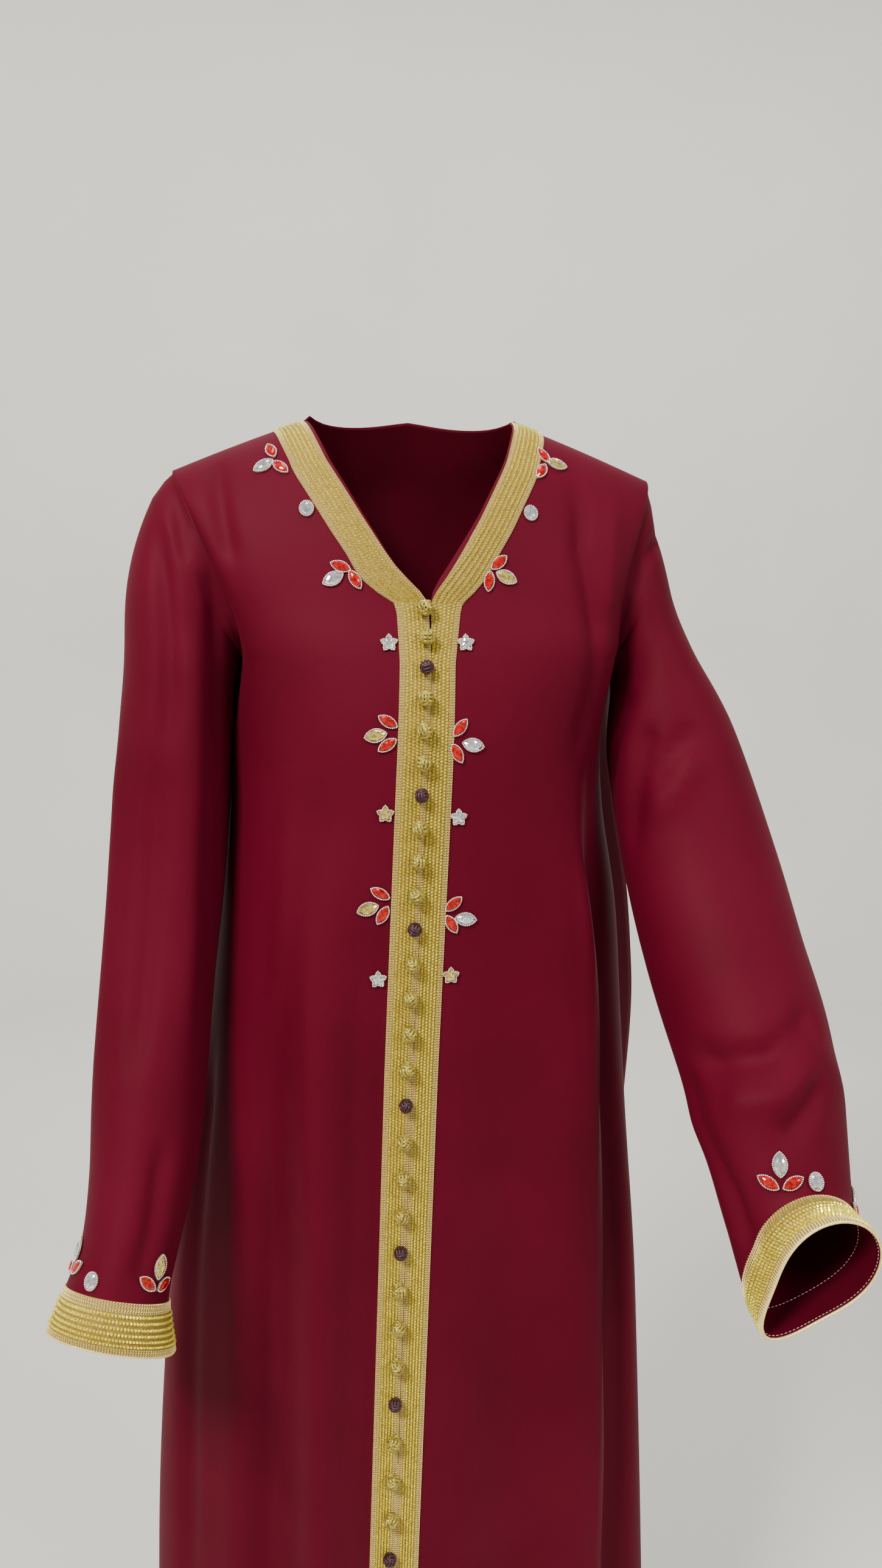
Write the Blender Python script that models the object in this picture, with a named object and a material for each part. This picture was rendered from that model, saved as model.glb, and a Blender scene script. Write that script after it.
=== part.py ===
"""Moroccan kaftan on an unseen wearer, built from the pieces that a maker cuts and sews on.

Metres, +Z up. The front faces -Y and the wearer's left is +X. The origin lies between the
shoulders, level with the top of the neck opening, where the wearer carries the garment.
"""
import math

import bpy
import numpy as np
from mathutils import Vector
from mathutils.bvhtree import BVHTree

# Driving sizes
WALL = 0.0016            # crepe and its turned edges
SEAM = 0.0003            # gap between pieces that are sewn together
TRIM_WALL = 0.0016       # woven sfifa braid
ARMHOLE_TOP = -0.040
ARMHOLE_FOOT = -0.195
ARMHOLE_HALF = 0.052     # half of the armhole's depth, front to back
ARMHOLE_STEPS = 9        # rows of a panel down one side of the armhole
ARMHOLE_FADE = 4         # how fast the armhole's own curve fades towards centre front
CHEST_FOOT = -0.340      # where the chest's roundness beside the armholes has run out
SHOULDER_BOW = 1.35      # how the shoulder line falls from the neck to its tip
BACK_NECK_HALF = 0.091
BACK_NECK_DROP = 1.9     # ring place of the back neck's middle
BACK_NECK_STAND = 0.008  # how far the back neck stands up
HEM = -1.42

FRONT, BACK = -1, 1
RIGHT, LEFT = -1, 1      # the wearer's sides

# Rings of the body from the shoulder seam down to the hem: height at centre front, centre
# back and side, half width on the wearer's right and left, depth to front and back, how far
# back the side lies, and the power of the outline (2 is an ellipse).
BODY = dict(
    front_z=(.027, .011, -.030, -.085, -.149, -.198, -.255, -.330, -.420, -.520, -.640,
             -.780, -.940, -1.100, -1.260, HEM),
    back_z=(.027, .020, .003, -.045, -.115, -.190, -.255, -.330, -.420, -.520, -.640,
            -.780, -.940, -1.100, -1.260, HEM),
    side_z=(ARMHOLE_TOP, -.050, -.076, -.116, -.156, ARMHOLE_FOOT, -.255, -.330, -.420, -.520,
            -.640, -.780, -.940, -1.100, -1.260, HEM),
    right=(.204, .200, .189, .172, .156, .149, .158, .164, .173, .188, .210, .228, .240, .246,
           .252, .258),
    left=(.204, .201, .191, .178, .171, .1705, .168, .176, .190, .196, .201, .207, .213, .219,
          .225, .232),
    front=(.000, .034, .062, .084, .099, .112, .120, .118, .113, .108, .103, .097, .090, .084,
           .080, .078),
    back=(.000, .026, .052, .082, .100, .108, .108, .102, .098, .102, .108, .114, .119, .123,
          .127, .131),
    side_y=(.000, .000, .000, .000, .000, .000, .026, .040, .040, .034, .028, .022, .020, .020,
            .020, .020),
    power=(2.0, 2.1, 2.3, 2.4, 2.4, 2.3, 2.2, 2.2, 2.2, 2.2, 2.2, 2.2, 2.2, 2.2, 2.2, 2.2),
)

# The neck's V and the slit below it, by height: the sfifa's inner edge on the wearer's right
# and left, how far the cloth shows inside it, and how much of each strip's width shows (the
# right strip laps over the left one below the V).
NECK = dict(
    z=(.004, -.037, -.084, -.120, -.139, -.149, -.200, -.304, -.536, -.989, HEM),
    right=(-.095, -.078, -.051, -.029, -.012, -.001, .000, -.005, -.016, -.031, -.041),
    left=(.084, .069, .044, .0225, .0095, .001, .000, -.005, -.016, -.031, -.041),
    right_cloth=(.003, .003, .002, .001, .001, 0, 0, 0, 0, 0, 0),
    left_cloth=(.001, .002, .003, .005, .005, 0, 0, 0, 0, 0, 0),
    right_wide=(.0255, .0255, .0255, .0255, .0255, .0255, .0250, .0245, .0225, .0215, .0215),
    left_wide=(.0255, .0255, .0255, .0255, .0255, .0250, .0190, .0200, .0215, .0215, .0215),
)

# Folds of the skirt and body: the side of the garment, where each starts and where it meets
# the hem, how far below its start it is full, its push (a trough is negative), and its
# reach towards centre front and towards the side.
FOLD_COLUMNS = ("face", "start_x", "start_z", "hem_x", "growth", "push", "near", "far")
FOLDS = (
    (FRONT, -.088, -.290, -.100, .30, .015, .022, .030),
    (FRONT, -.056, -.320, -.066, .35, -.015, .017, .018),
    (FRONT, -.118, -.320, -.178, .45, .008, .014, .018),
    (FRONT, -.150, -.380, -.228, .35, -.014, .014, .014),
    (FRONT, .062, -.340, .080, .40, -.008, .026, .026),
    (FRONT, .121, -.230, .176, .30, .014, .022, .016),
    (FRONT, .148, -.210, .205, .30, -.016, .014, .014),
    (FRONT, .174, -.480, .228, .30, .010, .014, .014),
    (BACK, -.150, -.300, -.200, .40, .012, .022, .018),
    (BACK, -.112, -.280, -.150, .40, -.012, .020, .020),
    (BACK, -.062, -.230, -.088, .40, .014, .024, .024),
    (BACK, -.012, -.260, -.022, .40, -.012, .026, .026),
    (BACK, .042, -.220, .052, .40, .014, .024, .026),
    (BACK, .094, -.260, .112, .40, -.013, .022, .022),
    (BACK, .140, -.240, .176, .40, .013, .022, .020),
)
FOLD_CLEAR = 0.012       # room that folds leave beside the sfifa

# Sleeves, as rings from armhole to cuff: the centre (x is measured outwards), the half sizes
# across and front to back, the lean of the ring out of level, its nod forwards, the turn of
# its long axis and how far it is pinched at that axis's end.
SLEEVE_COLUMNS = ("x", "y", "z", "wide", "deep", "lean", "nod", "turn", "pinch")
HANGING = (
    (.186, .000, -.128, .074, .056, 62, 0, 0, 0),
    (.196, .000, -.158, .060, .058, 42, 0, 0, 0),
    (.201, -.001, -.200, .048, .060, 15, 0, 0, 0),
    (.2065, -.003, -.262, .0475, .062, 5, 2, 0, 0),
    (.215, -.010, -.369, .049, .062, 3, 8, 0, 0),
    (.224, -.035, -.466, .047, .058, 3, 18, 0, 0),
    (.230, -.070, -.556, .0455, .054, 2, 22, 0, 0),
    (.234, -.095, -.612, .042, .051, 3, 24, 0, 0),
    (.2425, -.116, -.658, .0380, .050, 8, 24, 0, 0),
    (.2515, -.131, -.690, .0400, .048, 14, 22, 0, 0),
    (.2555, -.144, -.722, .0490, .044, 15, 20, 0, 0),
)
RAISED = (
    (.1925, .000, -.141, .060, .053, 72, 0, 0, 0),
    (.202, -.002, -.173, .040, .056, 48, 4, 0, 0),
    (.212, -.008, -.205, .0375, .058, 22, 10, 0, 0),
    (.2245, -.028, -.271, .0565, .058, 8, 20, 0, 0),
    (.2425, -.060, -.372, .0660, .060, 4, 28, 0, 0),
    (.250, -.105, -.446, .066, .062, 2, 40, 0, 0),
    (.254, -.160, -.508, .062, .062, 2, 48, 0, 0),
    (.253, -.205, -.560, .054, .058, 4, 56, 110, .05),
    (.251, -.235, -.602, .051, .048, 6, 66, 124, .12),
    (.2490, -.258, -.626, .0510, .038, 8, 76, 132, .22),
    (.2495, -.291, -.632, .0540, .034, 8, 80, 136, .30),
)
CUFF_ROWS = 3            # rings of a sleeve under its sfifa

# Knot buttons down the slit. The dark ones follow runs of gold.
BUTTON_FIRST = -0.158
BUTTON_PITCH = 0.0225    # at the top
BUTTON_SPREAD = 0.0006   # how much each pitch is longer than the one above
BUTTON_ASIDE = -0.0035   # from the slit towards the wearer's right
BUTTON_RUNS = (2, 3, 3, 4, 3, 3, 3)
BUTTON_SIDES = 8
BUTTON_RINGS = 4
GOLD_BUTTON = 0.0130
DARK_BUTTON = 0.0115
BUTTON_DEPTH = 0.72      # height of a knot as a share of its width

# Stones sewn on beside the sfifa, by their places across and up the front. A leaf is a small,
# a large and a small pointed stone, each with the way it points in degrees from the wearer's
# left, seen from the front.
LEAVES = (
    (RIGHT, (-.1217, -.0292, 108), (-.1281, -.0421, 210), (-.1145, -.0435, 313)),
    (LEFT, (.1026, -.0288, 117), (.1135, -.0358, -8), (.0987, -.0428, 240)),
    (RIGHT, (-.0692, -.1241, 158), (-.0752, -.1337, 207), (-.0580, -.1345, 299)),
    (LEFT, (.0571, -.1200, 41), (.0628, -.1316, -25), (.0485, -.1350, -98)),
    (RIGHT, (-.0350, -.2447, 149), (-.0445, -.2555, 191), (-.0356, -.2629, 213)),
    (LEFT, (.0216, -.2498, 51), (.0319, -.2635, -11), (.0190, -.2698, -62)),
    (RIGHT, (-.0414, -.3816, 152), (-.0513, -.3942, 198), (-.0395, -.3993, 239)),
    (LEFT, (.0171, -.3913, 39), (.0272, -.4044, -8), (.0156, -.4080, -60)),
)
STARS = ((RIGHT, -.0330, -.1840), (LEFT, .0275, -.1840), (RIGHT, -.0372, -.3174),
         (LEFT, .0206, -.3210), (RIGHT, -.0435, -.4526), (LEFT, .0155, -.4511))
OVALS = ((RIGHT, -.0947, -.0780), (LEFT, .0860, -.0790))
# The same above the cuffs: the share of the way round the sleeve, the distance above the
# band and the way that a leaf points, in degrees from level, seen from outside.
CUFF_LEAVES = ((RIGHT, .935, .0145, 90), (RIGHT, .645, .0145, 90),
               (LEFT, .715, .0145, 90), (LEFT, .985, .0145, 90))
CUFF_OVALS = ((RIGHT, .820, .0090), (LEFT, .800, .0090))
CUFF_LEAF = ((-.0085, -.001, 150), (0, .0115, 90), (.0085, -.001, 30))
SMALL_STONE = (.0180, .0090)  # length and width with the beaded rim
LARGE_STONE = (.0190, .0115)
OVAL_STONE = (.0140, .0120)
STAR_WIDE = 0.0150
STAR_WAIST = 0.62        # of its points' reach
OVAL_SIDES = 8
RIM_APART = 9            # least angle between two rim points of a motif, in degrees
RIM_REACH = 0.003        # rim points nearer to the middle are left out
STONE_HIGH = 0.0034
STONE_EDGE = 0.0012      # height of the beaded rim
STONE_LIFT = 0.0005
STONE_TOP = 0.62         # how wide the top is as a share of the rim
TRIM_CLEAR = 0.0009      # room between a motif and the sfifa
RIM_TRIES = 9            # steps in which a rim point is drawn in to get that room
CASTING = 1.0            # how far off a ray starts that looks for the fronts
NEAR_CASTING = 0.03      # the same for a sleeve

COLOURS = {
    "crepe": ((.105, .010, .021), .62, 0.0),
    "gold_braid": ((.72, .50, .16), .38, .65),
    "gold_knot": ((.50, .37, .11), .45, .45),
    "dark_knot": ((.060, .008, .020), .50, 0.0),
    "stone": ((.62, .10, .10), .12, 0.0),
}


def smooth_column(values, place):
    """Catmull-Rom curve through evenly spaced values, read at place (0 is the first)."""
    last = len(values) - 1
    span = min(int(place), last - 1)
    t = place - span
    before, a = values[max(span - 1, 0)], values[span]
    b, after = values[span + 1], values[min(span + 2, last)]
    slope_a, slope_b = (b - before) / 2, (after - a) / 2
    return (a * (2 * t**3 - 3 * t**2 + 1) + slope_a * (t**3 - 2 * t**2 + t)
            + b * (3 * t**2 - 2 * t**3) + slope_b * (t**3 - t**2))


def ease(t):
    t = min(max(t, 0.0), 1.0)
    return t * t * (3 - 2 * t)


def by_height(table, column, z):
    """A column of a table whose heights run downwards, read straight between its rows."""
    heights = [-value for value in table["z"]]
    return float(np.interp(-z, heights, table[column]))


def armhole_depth(z):
    middle = (ARMHOLE_TOP + ARMHOLE_FOOT) / 2
    half = (ARMHOLE_TOP - ARMHOLE_FOOT) / 2
    return ARMHOLE_HALF * math.sqrt(max(0.0, 1 - ((z - middle) / half) ** 2))


def chest_depth(z):
    """The armhole's depth as the cloth beside it follows it, running out below its foot."""
    middle = (ARMHOLE_TOP + ARMHOLE_FOOT) / 2
    if z > middle:
        return armhole_depth(z)
    return ARMHOLE_HALF * ease((z - CHEST_FOOT) / (middle - CHEST_FOOT))


def fold_push(face, x, z):
    """How far the cloth stands out (or in) at x and z because of the folds."""
    total = 0.0
    for row in FOLDS:
        fold = dict(zip(FOLD_COLUMNS, row))
        if fold["face"] != face or z > fold["start_z"]:
            continue
        along = (fold["start_z"] - z) / (fold["start_z"] - HEM)
        middle = fold["start_x"] + (fold["hem_x"] - fold["start_x"]) * along
        outward = (abs(x) - abs(middle)) if middle * x > 0 or face == FRONT else x - middle
        reach = fold["far"] if outward > 0 else fold["near"]
        if face == FRONT and middle * x < 0:
            continue
        reach *= 1 + 0.5 * along
        strength = ease((fold["start_z"] - z) / fold["growth"])
        total += fold["push"] * strength * math.exp(-(outward / reach) ** 2)
    return total


def ring_angle(place, x):
    """The angle from centre front or back at which a ring passes x."""
    half = smooth_column(BODY["left" if x > 0 else "right"], place)
    power = smooth_column(BODY["power"], place)
    return math.copysign(math.asin(min(1.0, abs(x) / half) ** (power / 2)), x)


def body_point(face, place, angle, folded=True):
    """A point of the body's cloth: ring place, angle from centre (positive to the left)."""
    side = "left" if angle > 0 else "right"
    half = smooth_column(BODY[side], place)
    deep = smooth_column(BODY["front" if face == FRONT else "back"], place)
    middle = smooth_column(BODY["front_z" if face == FRONT else "back_z"], place)
    edge = smooth_column(BODY["side_z"], place)
    power = 2 / smooth_column(BODY["power"], place)
    across = abs(math.sin(angle)) ** power
    out = max(0.0, math.cos(angle)) ** power
    beside = (1 - out) ** ARMHOLE_FADE
    arm = armhole_depth(edge) * beside + chest_depth(edge) * (1 - beside)
    side_y = smooth_column(BODY["side_y"], place)
    x = math.copysign(half * across, angle)
    y = side_y + face * arm + (face * (deep - arm) - side_y) * out
    z = middle + (edge - middle) * across ** SHOULDER_BOW
    if folded and deep > 0:
        push = fold_push(face, x, z) * ease((math.pi / 2 - abs(angle)) / 0.25)
        if face == FRONT:
            word = "left" if x > by_height(NECK, "left", z) else "right"
            from_trim = abs(x - by_height(NECK, word, z)) - by_height(NECK, word + "_wide", z)
            push *= ease(from_trim / FOLD_CLEAR)
        slope = Vector((x / half**2, y / deep**2, 0)).normalized()
        x, y = x + slope.x * push, y + slope.y * push
    return (x, y, z)


def edge_x(side, place, column_offset):
    """x on a ring where the neck's edge crosses it, with the cloth outside or inside."""
    name = "left" if side == LEFT else "right"
    x = 0.0
    for _ in range(14):
        z = body_point(FRONT, place, ring_angle(place, x), False)[2]
        x = by_height(NECK, name, z) + side * column_offset(z)
    return x


def trim_width(side, place):
    """Width of the strip along a ring: more where it runs aslant."""
    step = 0.15
    word = "left" if side == LEFT else "right"
    low, high = min(place + step, len(BODY["right"]) - 1), max(place - step, 0)
    ends = [Vector(body_point(FRONT, p, ring_angle(p, edge_x(side, p, lambda z: 0)), False))
            for p in (high, low)]
    run = (ends[1] - ends[0]).normalized()
    middle_z = body_point(FRONT, place, 0, False)[2]
    slant = max(0.7, math.sqrt(1 - run.x**2)) if middle_z > -0.165 else 1.0
    return by_height(NECK, word + "_wide", middle_z) / slant


def armhole_places():
    """Ring places whose sides lie evenly round the armhole, tip to foot."""
    dense = np.linspace(0, 5, 501)
    heights = [-smooth_column(BODY["side_z"], place) for place in dense]
    middle = (ARMHOLE_TOP + ARMHOLE_FOOT) / 2
    half = (ARMHOLE_TOP - ARMHOLE_FOOT) / 2
    places = []
    for step in range(ARMHOLE_STEPS + 1):
        z = middle + half * math.cos(math.pi * step / ARMHOLE_STEPS)
        places.append(float(np.interp(-z, heights, dense)))
    places[0], places[-1] = 0.0, 5.0
    return places


SKIRT_PLACES = [5.6, 6.3, 7, 8, 9, 10, 11, 12, 13, 14, 15]
PLACES = armhole_places() + SKIRT_PLACES


def front_grid(side, columns=13):
    """Outer points of one front: rows from the shoulder seam to the hem, columns outwards."""
    cloth = "left_cloth" if side == LEFT else "right_cloth"
    rows = []
    for place in PLACES:
        inner = edge_x(side, place, lambda z: 2 * SEAM)
        edge = edge_x(side, place, lambda z: SEAM - by_height(NECK, cloth, z))
        outer = inner + side * trim_width(side, place)
        angles = [ring_angle(place, x) for x in (edge, inner, outer)]
        last = side * math.pi / 2
        for step in range(1, columns + 1):
            angles.append(angles[2] + (last - angles[2]) * step / columns)
        rows.append([body_point(FRONT, place, angle) for angle in angles])
    grid = np.array(rows)
    grid[0, :, 1] = -SEAM / 2
    return grid


def back_grid(columns=18):
    """Outer points of the back, whose top row is shoulder seam, back neck, shoulder seam."""
    rows = []
    for row, place in enumerate(PLACES):
        points = []
        for step in range(columns + 1):
            angle = math.pi * (step / columns - 0.5)
            share = abs(math.sin(angle)) * BODY["left"][0] / BACK_NECK_HALF
            top = BACK_NECK_DROP * math.sqrt(max(0.0, 1 - share**2))
            here = top + (place if row else 0.0) * (1 - top / PLACES[-1])
            point = body_point(BACK, here, angle)
            stand = BACK_NECK_STAND * ease(2 * top) if row == 0 else 0.0
            points.append((point[0], point[1], point[2] + stand))
        rows.append(points)
    grid = np.array(rows)
    seam = np.abs(grid[0, :, 1]) < 1e-6
    grid[0, seam, 1] = SEAM / 2
    return grid


def unit(vectors):
    return vectors / np.linalg.norm(vectors, axis=-1, keepdims=True)


def grid_normals(grid, core, closed=False):
    """Outward normals of a grid. core is a point or a row of points inside it."""
    down = np.gradient(grid, axis=0)
    if closed:
        across = np.roll(grid, -1, axis=1) - np.roll(grid, 1, axis=1)
    else:
        across = np.gradient(grid, axis=1)
    normals = unit(np.cross(across, down))
    if np.sum(normals * (grid - core)) < 0:
        normals = -normals
    return normals


def flatten(normals, rows, columns, axis):
    """Take one axis out of some normals, so that a sewn edge stays in its seam's plane."""
    normals[rows, columns, axis] = 0
    normals[rows, columns] = unit(normals[rows, columns])


def shell_mesh(outer, inner, closed=False):
    """Vertices and triangles of the wall between two grids."""
    rows, columns = outer.shape[:2]
    verts = np.concatenate([outer.reshape(-1, 3), inner.reshape(-1, 3)])
    base = rows * columns
    faces = []

    def quad(a, b, c, d):
        faces.extend([(a, b, c), (a, c, d)])

    spans = columns if closed else columns - 1
    for r in range(rows - 1):
        for c in range(spans):
            n = (c + 1) % columns
            a, b = r * columns + c, r * columns + n
            d, e = a + columns, b + columns
            quad(a, d, e, b)
            faces.extend([(base + a, base + e, base + d), (base + a, base + b, base + e)])
    for c in range(spans):
        n = (c + 1) % columns
        top, foot = 0, (rows - 1) * columns
        quad(top + c, top + n, base + top + n, base + top + c)
        quad(foot + n, foot + c, base + foot + c, base + foot + n)
    if not closed:
        for r in range(rows - 1):
            a, b = r * columns, (r + 1) * columns
            quad(b, a, base + a, base + b)
            a, b = a + columns - 1, b + columns - 1
            quad(a, b, base + b, base + a)
    return verts, faces


def material(name):
    if name in bpy.data.materials:
        return bpy.data.materials[name]
    colour, rough, metal = COLOURS[name]
    made = bpy.data.materials.new(name)
    made.use_nodes = True
    shader = made.node_tree.nodes["Principled BSDF"]
    shader.inputs["Base Color"].default_value = (*colour, 1)
    shader.inputs["Roughness"].default_value = rough
    shader.inputs["Metallic"].default_value = metal
    return made


def add_piece(name, verts, faces, finish, shade_angle=40):
    """A closed piece with its faces turned outwards."""
    verts = np.asarray(verts, dtype=float)
    corners = verts[np.array([face[:3] for face in faces])] - verts.mean(axis=0)
    volume = np.einsum("ij,ij->i", corners[:, 0], np.cross(corners[:, 1], corners[:, 2])).sum()
    if volume < 0:
        faces = [tuple(reversed(face)) for face in faces]
    mesh = bpy.data.meshes.new(name)
    mesh.from_pydata([tuple(v) for v in verts], [], faces)
    mesh.materials.append(material(finish))
    mesh.shade_smooth()
    mesh.set_sharp_from_angle(angle=math.radians(shade_angle))
    piece = bpy.data.objects.new(name, mesh)
    bpy.context.collection.objects.link(piece)
    return piece


def add_shell(name, outer, inner, finish, closed=False):
    verts, faces = shell_mesh(outer, inner, closed)
    add_piece(name, verts, faces, finish)
    return BVHTree.FromPolygons([Vector(v) for v in verts], faces)


def core_of(grid):
    core = grid.copy()
    core[..., 0] = 0
    core[..., 1] = 0
    return core


def build_front(side):
    """One front and its sfifa strip; returns the front's grid and both trees."""
    word = "left" if side == LEFT else "right"
    grid = front_grid(side)
    foot = ARMHOLE_STEPS
    grid[foot:, -1, 1] -= SEAM / 2
    normals = grid_normals(grid, core_of(grid))
    flatten(normals, slice(0, 1), slice(None), 1)
    flatten(normals, slice(foot, None), slice(-1, None), 1)
    flatten(normals, slice(6, None), slice(0, 2), 0)
    front = add_shell(f"front_{word}", grid, grid - WALL * normals, "crepe")
    strip, up = grid[:, 1:3], normals[:, 1:3]
    trim = add_shell(f"sfifa_{word}", strip + (SEAM + TRIM_WALL) * up, strip + SEAM * up,
                     "gold_braid")
    return grid, front, trim


def build_back():
    grid = back_grid()
    foot = ARMHOLE_STEPS
    grid[foot:, (0, -1), 1] += SEAM / 2
    normals = grid_normals(grid, core_of(grid))
    seam = np.nonzero(grid[0, :, 1] <= SEAM)[0]
    for column in seam:
        flatten(normals, slice(0, 1), slice(column, column + 1), 1)
    flatten(normals, slice(foot, None), slice(-1, None), 1)
    flatten(normals, slice(foot, None), slice(0, 1), 1)
    add_shell("back", grid, grid - WALL * normals, "crepe")
    return grid


def ring_axes(row, side):
    """Centre, outward, backward and lengthwise axes of one ring of a sleeve."""
    lean, nod = math.radians(row["lean"]), math.radians(row["nod"])
    centre = Vector((side * row["x"], row["y"], row["z"]))
    outward = Vector((side * math.cos(lean), 0, math.sin(lean)))
    down = Vector((side * math.sin(lean), 0, -math.cos(lean)))
    back = Vector((0, math.cos(nod), 0)) + math.sin(nod) * down
    onward = math.cos(nod) * down + Vector((0, -math.sin(nod), 0))
    return centre, outward, back, onward


def ring_radius(row, angle):
    """Radius of a pinched ellipse whose long axis is turned."""
    turned = angle - math.radians(row["turn"])
    wide = row["wide"]
    deep = row["deep"] * (1 - row["pinch"] * math.cos(turned))
    return wide * deep / math.hypot(deep * math.cos(turned), wide * math.sin(turned))


def sleeve_grid(table, side, armhole, between=2):
    """Rings of a sleeve from the armhole's own points to the cuff, and their centres."""
    count = len(armhole)
    columns = {name: [row[i] for row in table] for i, name in enumerate(SLEEVE_COLUMNS)}
    rings, cores = [armhole], [np.mean(armhole, axis=0)]
    steps = (len(table) - 1) * between
    for step in range(steps + 1):
        place = step / between
        row = {name: smooth_column(values, place) for name, values in columns.items()}
        centre, outward, back, _ = ring_axes(row, side)
        ring = []
        for index in range(count):
            angle = 2 * math.pi * index / count
            radius = ring_radius(row, angle)
            ring.append(centre + radius * (math.cos(angle) * outward + math.sin(angle) * back))
        rings.append(np.array(ring))
        cores.append(np.array(centre))
    return np.array(rings), np.array(cores)[:, None, :]


def build_sleeve(table, side, front, back):
    """A sleeve and its cuff's sfifa; returns the sleeve's outer grid and both trees."""
    word = "left" if side == LEFT else "right"
    foot = ARMHOLE_STEPS
    back_edge = back[:foot + 1, -1 if side == LEFT else 0]
    front_edge = front[1:foot, -1][::-1]
    armhole = np.concatenate([back_edge, front_edge])
    armhole[[0, foot], 1] = 0
    armhole[:, 0] += side * 2 * SEAM
    grid, cores = sleeve_grid(table, side, armhole)
    normals = grid_normals(grid, cores, closed=True)
    flatten(normals, slice(0, 1), slice(None), 0)
    sleeve = add_shell(f"sleeve_{word}", grid, grid - WALL * normals, "crepe", closed=True)
    band, up = grid[-CUFF_ROWS:], normals[-CUFF_ROWS:]
    cuff = add_shell(f"cuff_sfifa_{word}", band + (SEAM + TRIM_WALL) * up, band + SEAM * up,
                     "gold_braid", closed=True)
    return grid, sleeve, cuff


def cast(trees, origin, direction):
    """First place where a ray meets any of the trees and the normal there, or None."""
    hits = [tree.ray_cast(Vector(origin), Vector(direction)) for tree in trees]
    hits = [hit for hit in hits if hit[0] is not None]
    if not hits:
        return None
    point, normal = min(hits, key=lambda hit: hit[3])[:2]
    if normal.dot(Vector(direction)) > 0:
        normal = -normal
    return point, normal


def build_button(name, x, z, wide, finish, trees):
    """A knot that rests on the sfifa: a low ball with its poles out and in."""
    reach = wide / 3
    hits = [cast(trees, (x + dx, -CASTING, z + dz), (0, 1, 0))
            for dx, dz in ((0, 0), (reach, 0), (-reach, 0), (0, reach), (0, -reach))]
    hits = [hit for hit in hits if hit]
    out = sum((normal for _, normal in hits), Vector()).normalized()
    across = Vector((0, 0, 1)).cross(out).normalized()
    up = out.cross(across)
    base = max((point - hits[0][0]).dot(out) for point, _ in hits)
    half = wide / 2
    tall = wide * BUTTON_DEPTH / 2
    centre = hits[0][0] + out * (base + tall + SEAM)
    verts = [centre + out * tall]
    for ring in range(1, BUTTON_RINGS):
        polar = math.pi * ring / BUTTON_RINGS
        for side in range(BUTTON_SIDES):
            angle = 2 * math.pi * side / BUTTON_SIDES
            flat = across * math.cos(angle) + up * math.sin(angle)
            verts.append(centre + out * (tall * math.cos(polar)) + flat * (half * math.sin(polar)))
    verts.append(centre - out * tall)
    faces = []
    last = len(verts) - 1
    for side in range(BUTTON_SIDES):
        after = (side + 1) % BUTTON_SIDES
        faces.append((0, 1 + side, 1 + after))
        for ring in range(BUTTON_RINGS - 2):
            a = 1 + ring * BUTTON_SIDES
            b = a + BUTTON_SIDES
            faces.append((a + side, b + side, b + after))
            faces.append((a + side, b + after, a + after))
        foot = last - BUTTON_SIDES
        faces.append((foot + side, last, foot + after))
    add_piece(name, verts, faces, finish)


def build_buttons(trees):
    """The row of knots: gold runs, each closed by a dark one."""
    z, pitch, number = BUTTON_FIRST, BUTTON_PITCH, 0
    for run in BUTTON_RUNS:
        for place in range(run + 1):
            dark = place == run
            number += 1
            x = by_height(NECK, "right", z) + BUTTON_ASIDE
            build_button(f"button_{number:02d}", x, z, DARK_BUTTON if dark else GOLD_BUTTON,
                         "dark_knot" if dark else "gold_knot", trees)
            z -= pitch
            pitch += BUTTON_SPREAD


def pointed_rim(stones):
    """Rim of a group of pointed stones, each as x, y, turn and size, in order round (0, 0)."""
    corners = []
    for x, y, turn, (long, wide) in stones:
        ahead = Vector((math.cos(turn), math.sin(turn)))
        aside = Vector((-ahead.y, ahead.x))
        for step in (ahead * long, -ahead * long, aside * wide, -aside * wide):
            corners.append(Vector((x, y)) + step / 2)
    corners = [corner for corner in corners if corner.length > RIM_REACH]
    corners.sort(key=lambda corner: math.atan2(corner.y, corner.x))
    rim = []
    for corner in corners:
        if rim and rim[-1].angle(corner) < math.radians(RIM_APART):
            if corner.length > rim[-1].length:
                rim[-1] = corner
        else:
            rim.append(corner)
    if rim[0].angle(rim[-1]) < math.radians(RIM_APART):
        rim.pop(0 if rim[0].length < rim[-1].length else -1)
    return rim


def leaf_rim(stones):
    """Rim of a leaf's three stones round their middle, which comes first."""
    middle = Vector((sum(row[0] for row in stones) / 3, sum(row[1] for row in stones) / 3))
    sizes = (SMALL_STONE, LARGE_STONE, SMALL_STONE)
    return middle, pointed_rim([(x - middle.x, y - middle.y, math.radians(turn), size)
                                for (x, y, turn), size in zip(stones, sizes)])


def star_rim():
    rim = []
    for step in range(10):
        angle = math.pi * (step / 5 + 0.5)
        reach = STAR_WIDE / 2 * (STAR_WAIST if step % 2 else 1)
        rim.append(Vector((reach * math.cos(angle), reach * math.sin(angle))))
    return rim


def oval_rim():
    tall, wide = OVAL_STONE
    angles = [2 * math.pi * step / OVAL_SIDES for step in range(OVAL_SIDES)]
    return [Vector((wide / 2 * math.cos(a), tall / 2 * math.sin(a))) for a in angles]


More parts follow.
